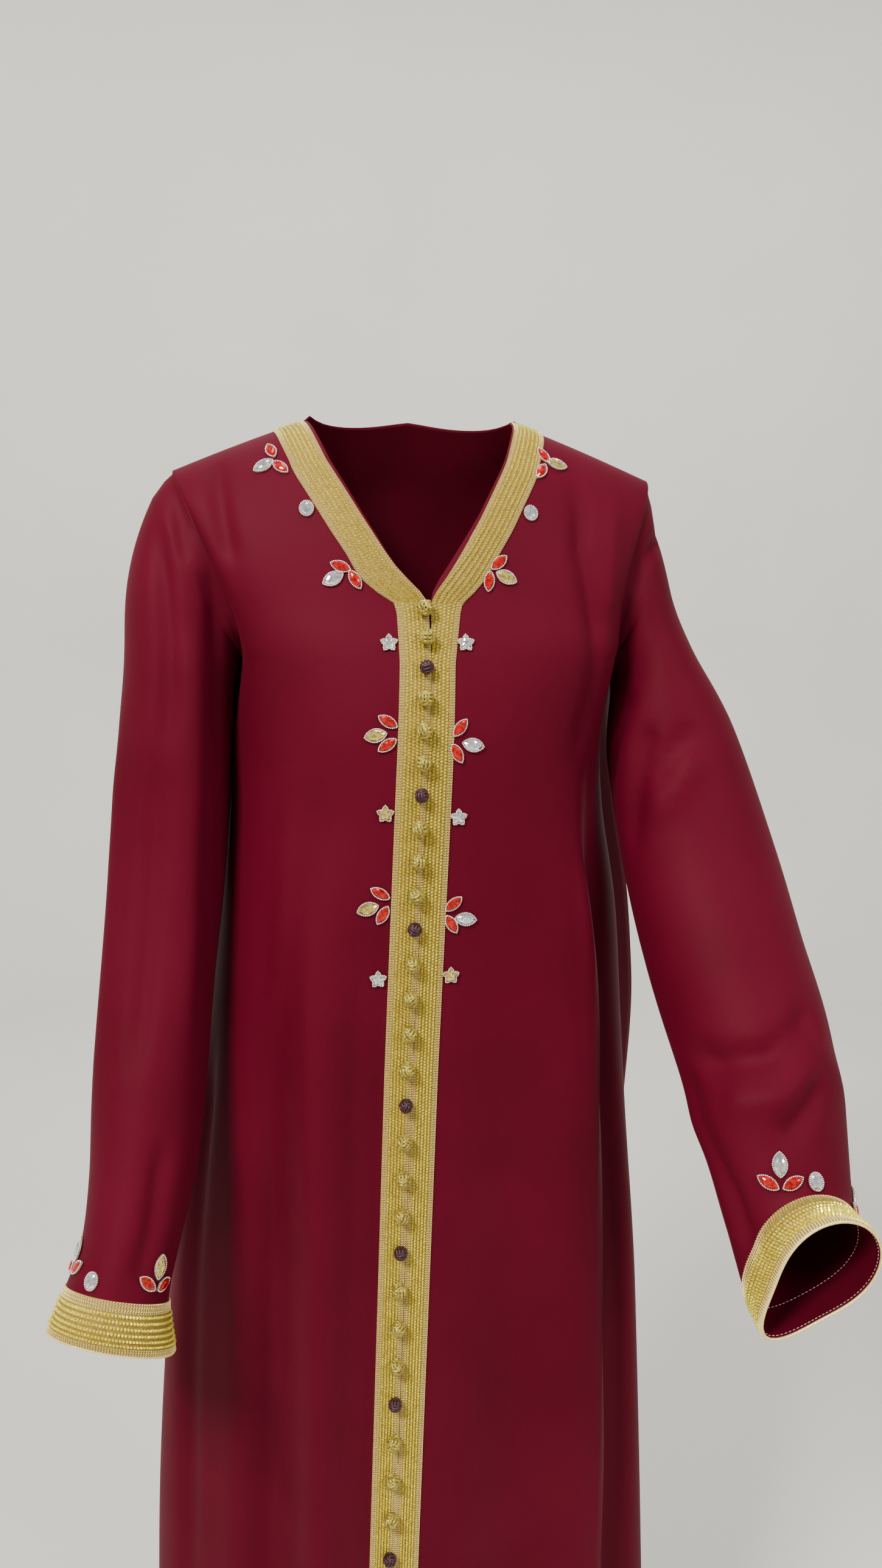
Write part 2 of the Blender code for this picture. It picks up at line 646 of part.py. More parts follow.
def build_stone(name, rim, origin, direction, upward, cloth, trims):
    """A stone motif that lies on the cloth where a ray meets it, clear of the sfifa."""
    origin, direction = Vector(origin), Vector(direction).normalized()
    right = direction.cross(Vector(upward)).normalized()
    up = right.cross(direction).normalized()

    def meets_trim(x, y):
        tries = [(x + dx, y) for dx in (-TRIM_CLEAR, 0, TRIM_CLEAR)]
        tries += [(x, y + dy) for dy in (-TRIM_CLEAR, TRIM_CLEAR)]
        return any(cast(trims, origin + right * a + up * b, direction) for a, b in tries)

    centre = cast(cloth, origin, direction)[0]
    found, halfway = [], []
    for x, y in rim:
        for _ in range(RIM_TRIES):
            if not meets_trim(x, y):
                break
            x, y = 0.9 * x, 0.9 * y
        found.append(cast(cloth, origin + right * x + up * y, direction))
        halfway.append(cast(cloth, origin + right * (x / 2) + up * (y / 2), direction)[0])
    out = sum((normal for _, normal in found), Vector()).normalized()
    rise = [(point - centre).dot(out) for point, _ in found]
    base = max(0, *rise)
    bulge = max((point - centre).dot(out) - high / 4 for point, high in zip(halfway, rise))
    lift = STONE_LIFT + max(base / 2, bulge)
    level = [point + out * (lift - high / 2) for (point, _), high in zip(found, rise)]
    middle = centre + out * lift
    inset = [middle + (point - middle) * STONE_TOP + out * STONE_HIGH for point in level]
    edge = [point + out * STONE_EDGE for point in level]
    verts = [middle] + level + edge + inset + [middle + out * STONE_HIGH]
    count, last = len(level), len(verts) - 1
    faces = []
    for step in range(count):
        a, b = 1 + step, 1 + (step + 1) % count
        faces.append((0, b, a))
        for low, high in ((0, count), (count, 2 * count)):
            faces.append((a + low, b + low, b + high))
            faces.append((a + low, b + high, a + high))
        faces.append((a + 2 * count, b + 2 * count, last))
    add_piece(name, verts, faces, "stone", 20)


def side_word(side):
    return "left" if side == LEFT else "right"


def build_front_stones(cloth, trims):
    ahead, upward = (0, 1, 0), (0, 0, 1)
    for number, (side, *stones) in enumerate(LEAVES, 1):
        middle, rim = leaf_rim(stones)
        build_stone(f"leaf_{side_word(side)}_{number}", rim, (middle.x, -CASTING, middle.y),
                    ahead, upward, cloth, trims)
    for kind, rim, places in (("star", star_rim(), STARS), ("oval", oval_rim(), OVALS)):
        for number, (side, x, z) in enumerate(places, 1):
            build_stone(f"{kind}_{side_word(side)}_{number}", rim, (x, -CASTING, z),
                        ahead, upward, cloth, trims)


def sleeve_place(grid, share, above):
    """A point of a sleeve above its band, with the ways out of the cloth and up the sleeve."""
    count = grid.shape[1]
    at = share * count
    low, part = int(at) % count, at - int(at)
    column = grid[:, low] * (1 - part) + grid[:, (low + 1) % count] * part
    beside = grid[:, (low + 1) % count] - grid[:, low]
    for row in range(-CUFF_ROWS, -CUFF_ROWS - 4, -1):
        foot, head = Vector(column[row]), Vector(column[row - 1])
        if (head - foot).length >= above:
            break
        above -= (head - foot).length
    up = (head - foot).normalized()
    out = up.cross(Vector(beside[row])).normalized()
    point = foot + up * above
    if out.dot(point - Vector(grid[row].mean(axis=0))) < 0:
        out = -out
    return point, out, up


def build_cuff_stones(sleeves):
    """Motifs above the bands. sleeves gives each side's grid and trees."""
    for number, (side, share, above, turn) in enumerate(CUFF_LEAVES, 1):
        grid, cloth, trim = sleeves[side]
        turned = math.radians(turn - 90)
        stones = [(x * math.cos(turned) - y * math.sin(turned),
                   x * math.sin(turned) + y * math.cos(turned), heading + turn - 90)
                  for x, y, heading in CUFF_LEAF]
        _, rim = leaf_rim(stones)
        point, out, up = sleeve_place(grid, share, above)
        build_stone(f"cuff_leaf_{side_word(side)}_{number}", rim, point + out * NEAR_CASTING,
                    -out, up, (cloth,), (trim,))
    for number, (side, share, above) in enumerate(CUFF_OVALS, 1):
        grid, cloth, trim = sleeves[side]
        point, out, up = sleeve_place(grid, share, above)
        build_stone(f"cuff_oval_{side_word(side)}_{number}", oval_rim(),
                    point + out * NEAR_CASTING, -out, up, (cloth,), (trim,))


def main():
    for thing in list(bpy.data.objects):
        bpy.data.objects.remove(thing, do_unlink=True)
    right_grid, right_tree, right_trim = build_front(RIGHT)
    left_grid, left_tree, left_trim = build_front(LEFT)
    back = build_back()
    sleeves = {RIGHT: build_sleeve(HANGING, RIGHT, right_grid, back),
               LEFT: build_sleeve(RAISED, LEFT, left_grid, back)}
    trims = (right_trim, left_trim)
    build_buttons(trims)
    build_front_stones((right_tree, left_tree), trims)
    build_cuff_stones(sleeves)


main()
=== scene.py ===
"""Looks of the moroccan kaftan: crepe, gold sfifa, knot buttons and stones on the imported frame."""
import math

import bpy
import numpy as np
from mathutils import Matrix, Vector
from mathutils.bvhtree import BVHTree


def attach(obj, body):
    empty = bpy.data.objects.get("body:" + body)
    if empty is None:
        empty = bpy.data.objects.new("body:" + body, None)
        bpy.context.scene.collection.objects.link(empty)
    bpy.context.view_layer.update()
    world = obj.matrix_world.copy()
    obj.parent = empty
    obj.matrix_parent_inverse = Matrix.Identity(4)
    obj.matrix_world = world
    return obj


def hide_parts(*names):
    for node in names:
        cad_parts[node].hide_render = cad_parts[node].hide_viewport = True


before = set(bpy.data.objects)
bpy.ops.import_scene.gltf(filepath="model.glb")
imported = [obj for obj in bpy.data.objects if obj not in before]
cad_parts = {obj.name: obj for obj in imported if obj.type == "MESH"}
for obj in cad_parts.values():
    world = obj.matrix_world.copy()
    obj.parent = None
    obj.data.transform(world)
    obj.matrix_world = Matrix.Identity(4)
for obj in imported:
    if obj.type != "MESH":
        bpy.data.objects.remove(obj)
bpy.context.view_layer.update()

# Sizes and tables of the garment, as in the part's source. The wall is thinner here, the steps
# are finer, and six folds of the fronts have other values.
WALL = 0.0012
LIFT = 0.0003
ARMHOLE_TOP = -0.040
ARMHOLE_FOOT = -0.195
ARMHOLE_HALF = 0.052
ARMHOLE_STEPS = 34
BODY_STEPS = 92
FRONT_COLUMNS = 52
BACK_COLUMNS = 84
SLEEVE_ROWS = 10
HEAD_ROWS = 5
ARMHOLE_FADE = 4
CHEST_FOOT = -0.340
SHOULDER_BOW = 1.35
BACK_NECK_HALF = 0.091
BACK_NECK_DROP = 1.9
BACK_NECK_STAND = 0.008
HEM = -1.42
FRONT, BACK = -1, 1
RIGHT, LEFT = -1, 1
WORDS = {RIGHT: "right", LEFT: "left"}

BODY = dict(
    front_z=(.027, .011, -.030, -.085, -.149, -.198, -.255, -.330, -.420, -.520, -.640,
             -.780, -.940, -1.100, -1.260, HEM),
    back_z=(.027, .020, .003, -.045, -.115, -.190, -.255, -.330, -.420, -.520, -.640,
            -.780, -.940, -1.100, -1.260, HEM),
    side_z=(ARMHOLE_TOP, -.050, -.076, -.116, -.156, ARMHOLE_FOOT, -.255, -.330, -.420, -.520,
            -.640, -.780, -.940, -1.100, -1.260, HEM),
    right=(.204, .200, .189, .172, .156, .149, .158, .164, .173, .188, .210, .228, .240, .246,
           .252, .258),
    left=(.204, .201, .191, .178, .171, .1705, .168, .176, .190, .196, .201, .207, .213, .219,
          .225, .232),
    front=(.000, .034, .062, .084, .099, .112, .120, .118, .113, .108, .103, .097, .090, .084,
           .080, .078),
    back=(.000, .026, .052, .082, .100, .108, .108, .102, .098, .102, .108, .114, .119, .123,
          .127, .131),
    side_y=(.000, .000, .000, .000, .000, .000, .026, .040, .040, .034, .028, .022, .020, .020,
            .020, .020),
    power=(2.0, 2.1, 2.3, 2.4, 2.4, 2.3, 2.2, 2.2, 2.2, 2.2, 2.2, 2.2, 2.2, 2.2, 2.2, 2.2),
)
NECK = dict(
    z=(.004, -.037, -.084, -.120, -.139, -.149, -.200, -.304, -.536, -.989, HEM),
    right=(-.095, -.078, -.051, -.029, -.012, -.001, .000, -.005, -.016, -.031, -.041),
    left=(.084, .069, .044, .0225, .0095, .001, .000, -.005, -.016, -.031, -.041),
    right_cloth=(.003, .003, .002, .001, .001, 0, 0, 0, 0, 0, 0),
    left_cloth=(.001, .002, .003, .005, .005, 0, 0, 0, 0, 0, 0),
    right_wide=(.0255, .0255, .0255, .0255, .0255, .0255, .0250, .0245, .0225, .0215, .0215),
    left_wide=(.0255, .0255, .0255, .0255, .0255, .0250, .0190, .0200, .0215, .0215, .0215),
)
FOLD_COLUMNS = ("face", "start_x", "start_z", "hem_x", "growth", "push", "near", "far")
FOLDS = [dict(zip(FOLD_COLUMNS, row)) for row in (
    (FRONT, -.088, -.290, -.100, .30, .025, .030, .022),
    (FRONT, -.056, -.320, -.066, .35, -.002, .017, .018),
    (FRONT, -.122, -.320, -.142, .45, -.010, .016, .016),
    (FRONT, -.148, -.380, -.180, .35, .006, .014, .014),
    (FRONT, .062, -.340, .080, .40, -.008, .026, .026),
    (FRONT, .119, -.230, .170, .30, .014, .026, .014),
    (FRONT, .145, -.210, .195, .30, -.018, .013, .014),
    (FRONT, .174, -.480, .228, .30, .010, .014, .014),
    (BACK, -.150, -.300, -.200, .40, .012, .022, .018),
    (BACK, -.112, -.280, -.150, .40, -.012, .020, .020),
    (BACK, -.062, -.230, -.088, .40, .014, .024, .024),
    (BACK, -.012, -.260, -.022, .40, -.012, .026, .026),
    (BACK, .042, -.220, .052, .40, .014, .024, .026),
    (BACK, .094, -.260, .112, .40, -.013, .022, .022),
    (BACK, .140, -.240, .176, .40, .013, .022, .020),
)]
FOLD_CLEAR = 0.012
SLEEVE_COLUMNS = ("x", "y", "z", "wide", "deep", "lean", "nod", "turn", "pinch")
HANGING = (
    (.186, .000, -.128, .074, .056, 62, 0, 0, 0),
    (.196, .000, -.158, .060, .058, 42, 0, 0, 0),
    (.201, -.001, -.200, .048, .060, 15, 0, 0, 0),
    (.2065, -.003, -.262, .0475, .062, 5, 2, 0, 0),
    (.215, -.010, -.369, .049, .062, 3, 8, 0, 0),
    (.224, -.035, -.466, .047, .058, 3, 18, 0, 0),
    (.230, -.070, -.556, .0455, .054, 2, 22, 0, 0),
    (.234, -.095, -.612, .042, .051, 3, 24, 0, 0),
    (.2425, -.116, -.658, .0380, .050, 8, 24, 0, 0),
    (.2515, -.131, -.690, .0400, .048, 14, 22, 0, 0),
    (.2555, -.144, -.722, .0490, .044, 15, 20, 0, 0),
)
RAISED = (
    (.1925, .000, -.141, .060, .053, 72, 0, 0, 0),
    (.202, -.002, -.173, .040, .056, 48, 4, 0, 0),
    (.212, -.008, -.205, .0375, .058, 22, 10, 0, 0),
    (.2245, -.028, -.271, .0565, .058, 8, 20, 0, 0),
    (.2425, -.060, -.372, .0660, .060, 4, 28, 0, 0),
    (.250, -.105, -.446, .066, .062, 2, 40, 0, 0),
    (.254, -.160, -.508, .062, .062, 2, 48, 0, 0),
    (.253, -.205, -.560, .054, .058, 4, 56, 110, .05),
    (.251, -.235, -.602, .051, .048, 6, 66, 124, .12),
    (.2490, -.258, -.626, .0510, .038, 8, 76, 132, .22),
    (.2495, -.291, -.632, .0540, .034, 8, 80, 136, .30),
)
SEAM_DIP = 0.0016
SLEEVE_CREASE = 1.45
PLEAT = {RIGHT: .020, LEFT: .026}
PLEAT_START = 3.7
PLEAT_GROWTH = 1.2
PLEAT_END = 10.8
PLEAT_COLUMNS = 10
BUTTON_FIRST = -0.158
BUTTON_PITCH = 0.0225
BUTTON_SPREAD = 0.0006
BUTTON_ASIDE = -0.0035
BUTTON_RUNS = (2, 3, 3, 4, 3, 3, 3)
GOLD_BUTTON = 0.0130
DARK_BUTTON = 0.0115

# Stones: small and large ones of each leaf by place and heading, and the large one's colour
LEAVES = (
    (RIGHT, "clear", (-.1217, -.0292, 108), (-.1281, -.0421, 210), (-.1145, -.0435, 313)),
    (LEFT, "citrine", (.1026, -.0288, 117), (.1135, -.0358, -8), (.0987, -.0428, 240)),
    (RIGHT, "clear", (-.0692, -.1241, 158), (-.0752, -.1337, 207), (-.0580, -.1345, 299)),
    (LEFT, "citrine", (.0571, -.1200, 41), (.0628, -.1316, -25), (.0485, -.1350, -98)),
    (RIGHT, "citrine", (-.0350, -.2447, 149), (-.0445, -.2555, 191), (-.0356, -.2629, 213)),
    (LEFT, "clear", (.0216, -.2498, 51), (.0319, -.2635, -11), (.0190, -.2698, -62)),
    (RIGHT, "citrine", (-.0414, -.3816, 152), (-.0513, -.3942, 198), (-.0395, -.3993, 239)),
    (LEFT, "clear", (.0171, -.3913, 39), (.0272, -.4044, -8), (.0156, -.4080, -60)),
)
STARS = ((RIGHT, -.0330, -.1840, "clear"), (LEFT, .0275, -.1840, "clear"),
         (RIGHT, -.0372, -.3174, "citrine"), (LEFT, .0206, -.3210, "clear"),
         (RIGHT, -.0435, -.4526, "clear"), (LEFT, .0155, -.4511, "citrine"))
OVALS = ((RIGHT, -.0947, -.0780, "clear"), (LEFT, .0860, -.0790, "clear"))
CUFF_LEAVES = ((RIGHT, .935, .0145, "clear"), (RIGHT, .645, .0145, "citrine"),
               (LEFT, .715, .0145, "clear"), (LEFT, .985, .0145, "clear"))
CUFF_OVALS = ((RIGHT, .820, .0090), (LEFT, .800, .0090))
CUFF_LEAF = ((-.0085, -.001, 150), (0, .0115, 90), (.0085, -.001, 30))
SMALL_STONE = (.0180, .0090)
LARGE_STONE = (.0190, .0115)
OVAL_STONE = (.0140, .0120)
STAR_WIDE = 0.0150

# Creases of the crepe as lines along the cloth: piece, push, reach, points
CREASES = (
    ("sleeve_right", -.0030, .0060, (-.199, -.031, -.058), (-.195, -.048, -.089),
     (-.191, -.055, -.125)),
    ("sleeve_right", -.0040, .0080, (-.212, -.035, -.078), (-.209, -.053, -.133),
     (-.205, -.059, -.181), (-.206, -.061, -.228), (-.213, -.062, -.290)),
    ("sleeve_right", .0040, .0120, (-.192, -.057, -.157), (-.188, -.058, -.220),
     (-.190, -.060, -.300), (-.196, -.070, -.420), (-.204, -.100, -.540)),
    ("sleeve_right", -.0040, .0100, (-.218, -.063, -.264), (-.221, -.068, -.336),
     (-.228, -.088, -.440), (-.238, -.118, -.540)),
    ("sleeve_right", -.0045, .0085, (-.176, -.052, -.115), (-.168, -.052, -.150),
     (-.166, -.045, -.210), (-.168, -.040, -.280)),
    ("sleeve_right", .0035, .0120, (-.244, -.030, -.230), (-.250, -.040, -.360),
     (-.258, -.070, -.480), (-.262, -.100, -.580)),
    ("sleeve_right", -.0040, .0090, (-.210, -.128, -.560), (-.222, -.150, -.630),
     (-.236, -.168, -.672)),
    ("sleeve_left", -.0035, .0060, (.214, -.030, -.090), (.202, -.041, -.099),
     (.188, -.050, -.116), (.182, -.054, -.150)),
    ("sleeve_left", -.0050, .0090, (.197, -.074, -.252), (.188, -.071, -.272),
     (.181, -.071, -.315), (.178, -.070, -.366)),
    ("sleeve_left", -.0045, .0090, (.181, -.048, -.215), (.172, -.042, -.261),
     (.172, -.030, -.312)),
    ("sleeve_left", -.0040, .0080, (.231, -.082, -.253), (.215, -.085, -.264),
     (.201, -.084, -.283), (.189, -.078, -.299)),
    ("sleeve_left", .0035, .0100, (.232, -.088, -.274), (.208, -.093, -.305),
     (.187, -.083, -.333)),
    ("sleeve_left", -.0060, .0100, (.286, -.190, -.462), (.274, -.206, -.474),
     (.240, -.219, -.491), (.209, -.203, -.500), (.194, -.169, -.502)),
    ("sleeve_left", .0050, .0120, (.280, -.212, -.500), (.242, -.236, -.518),
     (.205, -.215, -.530)),
    ("sleeve_left", -.0040, .0080, (.282, -.226, -.508), (.262, -.240, -.526),
     (.237, -.251, -.546)),
    ("sleeve_left", -.0050, .0090, (.193, -.167, -.517), (.199, -.205, -.552),
     (.206, -.241, -.589), (.222, -.262, -.630)),
    ("front_right", -.0055, .0090, (-.165, -.026, -.034), (-.162, -.059, -.080),
     (-.153, -.070, -.126)),
    ("front_right", .0030, .0120, (-.106, -.087, -.243), (-.120, -.079, -.408),
     (-.138, -.078, -.557), (-.146, -.083, -.789), (-.149, -.079, -.984)),
    ("front_right", -.0070, .0110, (-.185, -.020, -.520), (-.193, -.027, -.629),
     (-.207, -.035, -.852), (-.216, -.040, -1.100)),
    ("front_left", -.0070, .0100, (.129, -.044, -.036), (.130, -.076, -.106),
     (.139, -.082, -.169), (.135, -.073, -.242), (.122, -.083, -.276)),
    ("front_left", .0030, .0090, (.160, -.050, -.060), (.156, -.068, -.110),
     (.150, -.078, -.170)),
    ("front_right", .0050, .0070, (-.095, -.104, -.420), (-.097, -.102, -.640),
     (-.099, -.096, -.900), (-.101, -.092, -1.250)),
    ("front_right", -.0030, .0090, (-.062, -.108, -.420), (-.066, -.105, -.640),
     (-.072, -.099, -.900), (-.078, -.095, -1.250)),
    ("front_left", .0075, .0080, (.130, -.088, -.320), (.142, -.082, -.520),
     (.154, -.076, -.780), (.166, -.070, -1.100)),
    ("front_left", -.0110, .0120, (.152, -.060, -.300), (.165, -.050, -.560),
     (.184, -.048, -.820), (.194, -.045, -1.150)),
    ("back", -.0040, .0100, (-.120, .080, -.120), (-.090, .100, -.200), (-.060, .108, -.300)),
    ("back", -.0040, .0100, (.120, .080, -.120), (.090, .100, -.200), (.060, .108, -.300)),
    ("back", .0030, .0120, (-.030, .060, -.020), (-.010, .095, -.100), (.000, .108, -.220)),
)


def smooth_column(values, place):
    """Catmull-Rom curve through evenly spaced values, read at place (0 is the first)."""
    last = len(values) - 1
    span = min(int(place), last - 1)
    t = place - span
    before, a = values[max(span - 1, 0)], values[span]
    b, after = values[span + 1], values[min(span + 2, last)]
    slope_a, slope_b = (b - before) / 2, (after - a) / 2
    return (a * (2 * t**3 - 3 * t**2 + 1) + slope_a * (t**3 - 2 * t**2 + t)
            + b * (3 * t**2 - 2 * t**3) + slope_b * (t**3 - t**2))


def ease(t):
    t = min(max(t, 0.0), 1.0)
    return t * t * (3 - 2 * t)


NECK_HEIGHTS = [-value for value in NECK["z"]]


def by_height(column, z):
    return float(np.interp(-z, NECK_HEIGHTS, NECK[column]))


def armhole_depth(z):
    middle = (ARMHOLE_TOP + ARMHOLE_FOOT) / 2
    half = (ARMHOLE_TOP - ARMHOLE_FOOT) / 2
    return ARMHOLE_HALF * math.sqrt(max(0.0, 1 - ((z - middle) / half) ** 2))


def chest_depth(z):
    """The armhole's depth as the cloth beside it follows it, running out below its foot."""
    middle = (ARMHOLE_TOP + ARMHOLE_FOOT) / 2
    if z > middle:
        return armhole_depth(z)
    return ARMHOLE_HALF * ease((z - CHEST_FOOT) / (middle - CHEST_FOOT))


def fold_push(face, x, z):
    total = 0.0
    for fold in FOLDS:
        if fold["face"] != face or z > fold["start_z"]:
            continue
        along = (fold["start_z"] - z) / (fold["start_z"] - HEM)
        middle = fold["start_x"] + (fold["hem_x"] - fold["start_x"]) * along
        outward = (abs(x) - abs(middle)) if middle * x > 0 or face == FRONT else x - middle
        reach = fold["far"] if outward > 0 else fold["near"]
        if face == FRONT and middle * x < 0:
            continue
        reach *= 1 + 0.5 * along
        strength = ease((fold["start_z"] - z) / fold["growth"])
        total += fold["push"] * strength * math.exp(-(outward / reach) ** 2)
    return total


def ring_angle(place, x):
    half = smooth_column(BODY["left" if x > 0 else "right"], place)
    power = smooth_column(BODY["power"], place)
    return math.copysign(math.asin(min(1.0, abs(x) / half) ** (power / 2)), x)


def body_point(face, place, angle, folded=True):
    side = "left" if angle > 0 else "right"
    half = smooth_column(BODY[side], place)
    deep = smooth_column(BODY["front" if face == FRONT else "back"], place)
    middle = smooth_column(BODY["front_z" if face == FRONT else "back_z"], place)
    edge = smooth_column(BODY["side_z"], place)
    power = 2 / smooth_column(BODY["power"], place)
    across = abs(math.sin(angle)) ** power
    out = max(0.0, math.cos(angle)) ** power
    beside = (1 - out) ** ARMHOLE_FADE
    arm = armhole_depth(edge) * beside + chest_depth(edge) * (1 - beside)
    side_y = smooth_column(BODY["side_y"], place)
    x = math.copysign(half * across, angle)
    y = side_y + face * arm + (face * (deep - arm) - side_y) * out
    z = middle + (edge - middle) * across ** SHOULDER_BOW
    if folded and deep > 0:
        push = fold_push(face, x, z) * ease((math.pi / 2 - abs(angle)) / 0.25)
        if face == FRONT:
            word = "left" if x > by_height("left", z) else "right"
            from_trim = abs(x - by_height(word, z)) - by_height(word + "_wide", z)
            push *= ease(from_trim / FOLD_CLEAR)
        slope = Vector((x / half**2, y / deep**2, 0)).normalized()
        x, y = x + slope.x * push, y + slope.y * push
    return (x, y, z)


def edge_x(side, place, column_offset):
    name = WORDS[side]
    x = 0.0
    for _ in range(14):
        z = body_point(FRONT, place, ring_angle(place, x), False)[2]
        x = by_height(name, z) + side * column_offset(z)
    return x


def trim_width(side, place):
    step = 0.15
    word = WORDS[side]
    low, high = min(place + step, len(BODY["right"]) - 1), max(place - step, 0)
    ends = [Vector(body_point(FRONT, p, ring_angle(p, edge_x(side, p, lambda z: 0)), False))
            for p in (high, low)]
    run = (ends[1] - ends[0]).normalized()
    middle_z = body_point(FRONT, place, 0, False)[2]
    slant = max(0.7, math.sqrt(1 - run.x**2)) if middle_z > -0.165 else 1.0
    return by_height(word + "_wide", middle_z) / slant


def armhole_places():
    dense = np.linspace(0, 5, 501)
    heights = [-smooth_column(BODY["side_z"], place) for place in dense]
    middle = (ARMHOLE_TOP + ARMHOLE_FOOT) / 2
    half = (ARMHOLE_TOP - ARMHOLE_FOOT) / 2
    places = []
    for step in range(ARMHOLE_STEPS + 1):
        z = middle + half * math.cos(math.pi * step / ARMHOLE_STEPS)
        places.append(float(np.interp(-z, heights, dense)))
    places[0], places[-1] = 0.0, 5.0
    return places


PLACES = armhole_places() + [5 + 10 * step / BODY_STEPS for step in range(1, BODY_STEPS + 1)]


def front_grid(side, columns=FRONT_COLUMNS):
    cloth = WORDS[side] + "_cloth"
    rows = []
    for place in PLACES:
        inner = edge_x(side, place, lambda z: 0)
        edge = edge_x(side, place, lambda z: -by_height(cloth, z))
        outer = inner + side * trim_width(side, place)
        angles = [ring_angle(place, x) for x in (edge, inner, (inner + outer) / 2, outer)]
        last = side * math.pi / 2
        for step in range(1, columns + 1):
            angles.append(angles[3] + (last - angles[3]) * step / columns)
        rows.append([body_point(FRONT, place, angle) for angle in angles])
    grid = np.array(rows)
    grid[0, :, 1] = 0
    return grid


def back_grid(columns=BACK_COLUMNS):
    rows = []
    for row, place in enumerate(PLACES):
        points = []
        for step in range(columns + 1):
            angle = math.pi * (step / columns - 0.5)
            share = abs(math.sin(angle)) * BODY["left"][0] / BACK_NECK_HALF
            top = BACK_NECK_DROP * math.sqrt(max(0.0, 1 - share**2))
            here = top + (place if row else 0.0) * (1 - top / PLACES[-1])
            point = body_point(BACK, here, angle)
            stand = BACK_NECK_STAND * ease(2 * top) * ease(1 - row / 5)
            side = RIGHT if step < columns / 2 else LEFT
            from_side = min(step, columns - step)
            pleat = PLEAT[side] * ease((place - PLEAT_START) / PLEAT_GROWTH)
            pleat *= ease((PLEAT_END - place) / 2)
            pleat *= ease(from_side / 3) * ease((PLEAT_COLUMNS - from_side) / 7)
            points.append((point[0] + side * pleat, point[1] + .45 * pleat, point[2] + stand))
        rows.append(points)
    return np.array(rows)


def unit(vectors):
    return vectors / np.maximum(np.linalg.norm(vectors, axis=-1, keepdims=True), 1e-12)


def grid_normals(grid, core, closed=False):
    down = np.gradient(grid, axis=0)
    if closed:
        across = np.roll(grid, -1, axis=1) - np.roll(grid, 1, axis=1)
    else:
        across = np.gradient(grid, axis=1)
    normals = unit(np.cross(across, down))
    if np.sum(normals * (grid - core)) < 0:
        normals = -normals
    return normals


def core_of(grid):
    core = grid.copy()
    core[..., 0] = 0
    core[..., 1] = 0
    return core


def creased(name, grid, normals):
    """The grid with the piece's creases pushed in or out along its normals."""
    push = np.zeros(grid.shape[:2])
    for piece, amount, reach, *points in CREASES:
        if piece != name:
            continue
        best = np.full(grid.shape[:2], 1e9)
        share = np.zeros(grid.shape[:2])
        points = np.array(points)
        spans = len(points) - 1
        for index in range(spans):
            a, b = points[index], points[index + 1]
            t = np.clip(((grid - a) @ (b - a)) / ((b - a) @ (b - a)), 0, 1)
            far = np.linalg.norm(grid - (a + t[..., None] * (b - a)), axis=-1)
            nearer = far < best
            best[nearer] = far[nearer]
            share[nearer] = ((index + t) / spans)[nearer]
        taper = np.clip(np.minimum(share, 1 - share) / 0.22, 0, 1)
        taper = 0.15 + 0.85 * taper * taper * (3 - 2 * taper)
        depth = SLEEVE_CREASE if name.startswith("sleeve") else 1.0
        push += depth * amount * taper * np.exp(-(best / reach) ** 2)
    return grid + push[..., None] * normals


def ring_axes(row, side):
    lean, nod = math.radians(row["lean"]), math.radians(row["nod"])
    centre = np.array((side * row["x"], row["y"], row["z"]))
    outward = np.array((side * math.cos(lean), 0, math.sin(lean)))
    down = np.array((side * math.sin(lean), 0, -math.cos(lean)))
    back = np.array((0, math.cos(nod), 0)) + math.sin(nod) * down
    return centre, outward, back


def ring_radius(row, angle):
    turned = angle - math.radians(row["turn"])
    deep = row["deep"] * (1 - row["pinch"] * math.cos(turned))
    return row["wide"] * deep / math.hypot(deep * math.cos(turned), row["wide"] * math.sin(turned))


def sleeve_grid(table, side, armhole, between=SLEEVE_ROWS):
    count = len(armhole)
    columns = {name: [row[i] for row in table] for i, name in enumerate(SLEEVE_COLUMNS)}
    rings, cores = [], []
    for step in range((len(table) - 1) * between + 1):
        row = {name: smooth_column(values, step / between) for name, values in columns.items()}
        centre, outward, back = ring_axes(row, side)
        angles = [2 * math.pi * index / count for index in range(count)]
        rings.append([centre + ring_radius(row, a) * (math.cos(a) * outward + math.sin(a) * back)
                      for a in angles])
        cores.append(centre)
    head = np.array(rings[0])
    blend = []
    for step in range(HEAD_ROWS):
        t = step / HEAD_ROWS
        blend.append(armhole * (1 - t) + head * t)
    grid = np.concatenate([np.array(blend), np.array(rings)])
    cores = [np.mean(ring, axis=0) for ring in blend] + cores
    return grid, np.array(cores)[:, None, :]


def add_mesh(name, verts, faces, finishes, smooth=True, face_finish=None):
    mesh = bpy.data.meshes.new(name)
    mesh.from_pydata(np.asarray(verts, dtype=float).tolist(), [], faces)
    for finish in finishes:
        mesh.materials.append(finish)
    if face_finish is not None:
        mesh.polygons.foreach_set("material_index", face_finish)
    if smooth:
        mesh.shade_smooth()
    mesh.update()
    piece = bpy.data.objects.new(name, mesh)
    bpy.context.collection.objects.link(piece)
    return piece


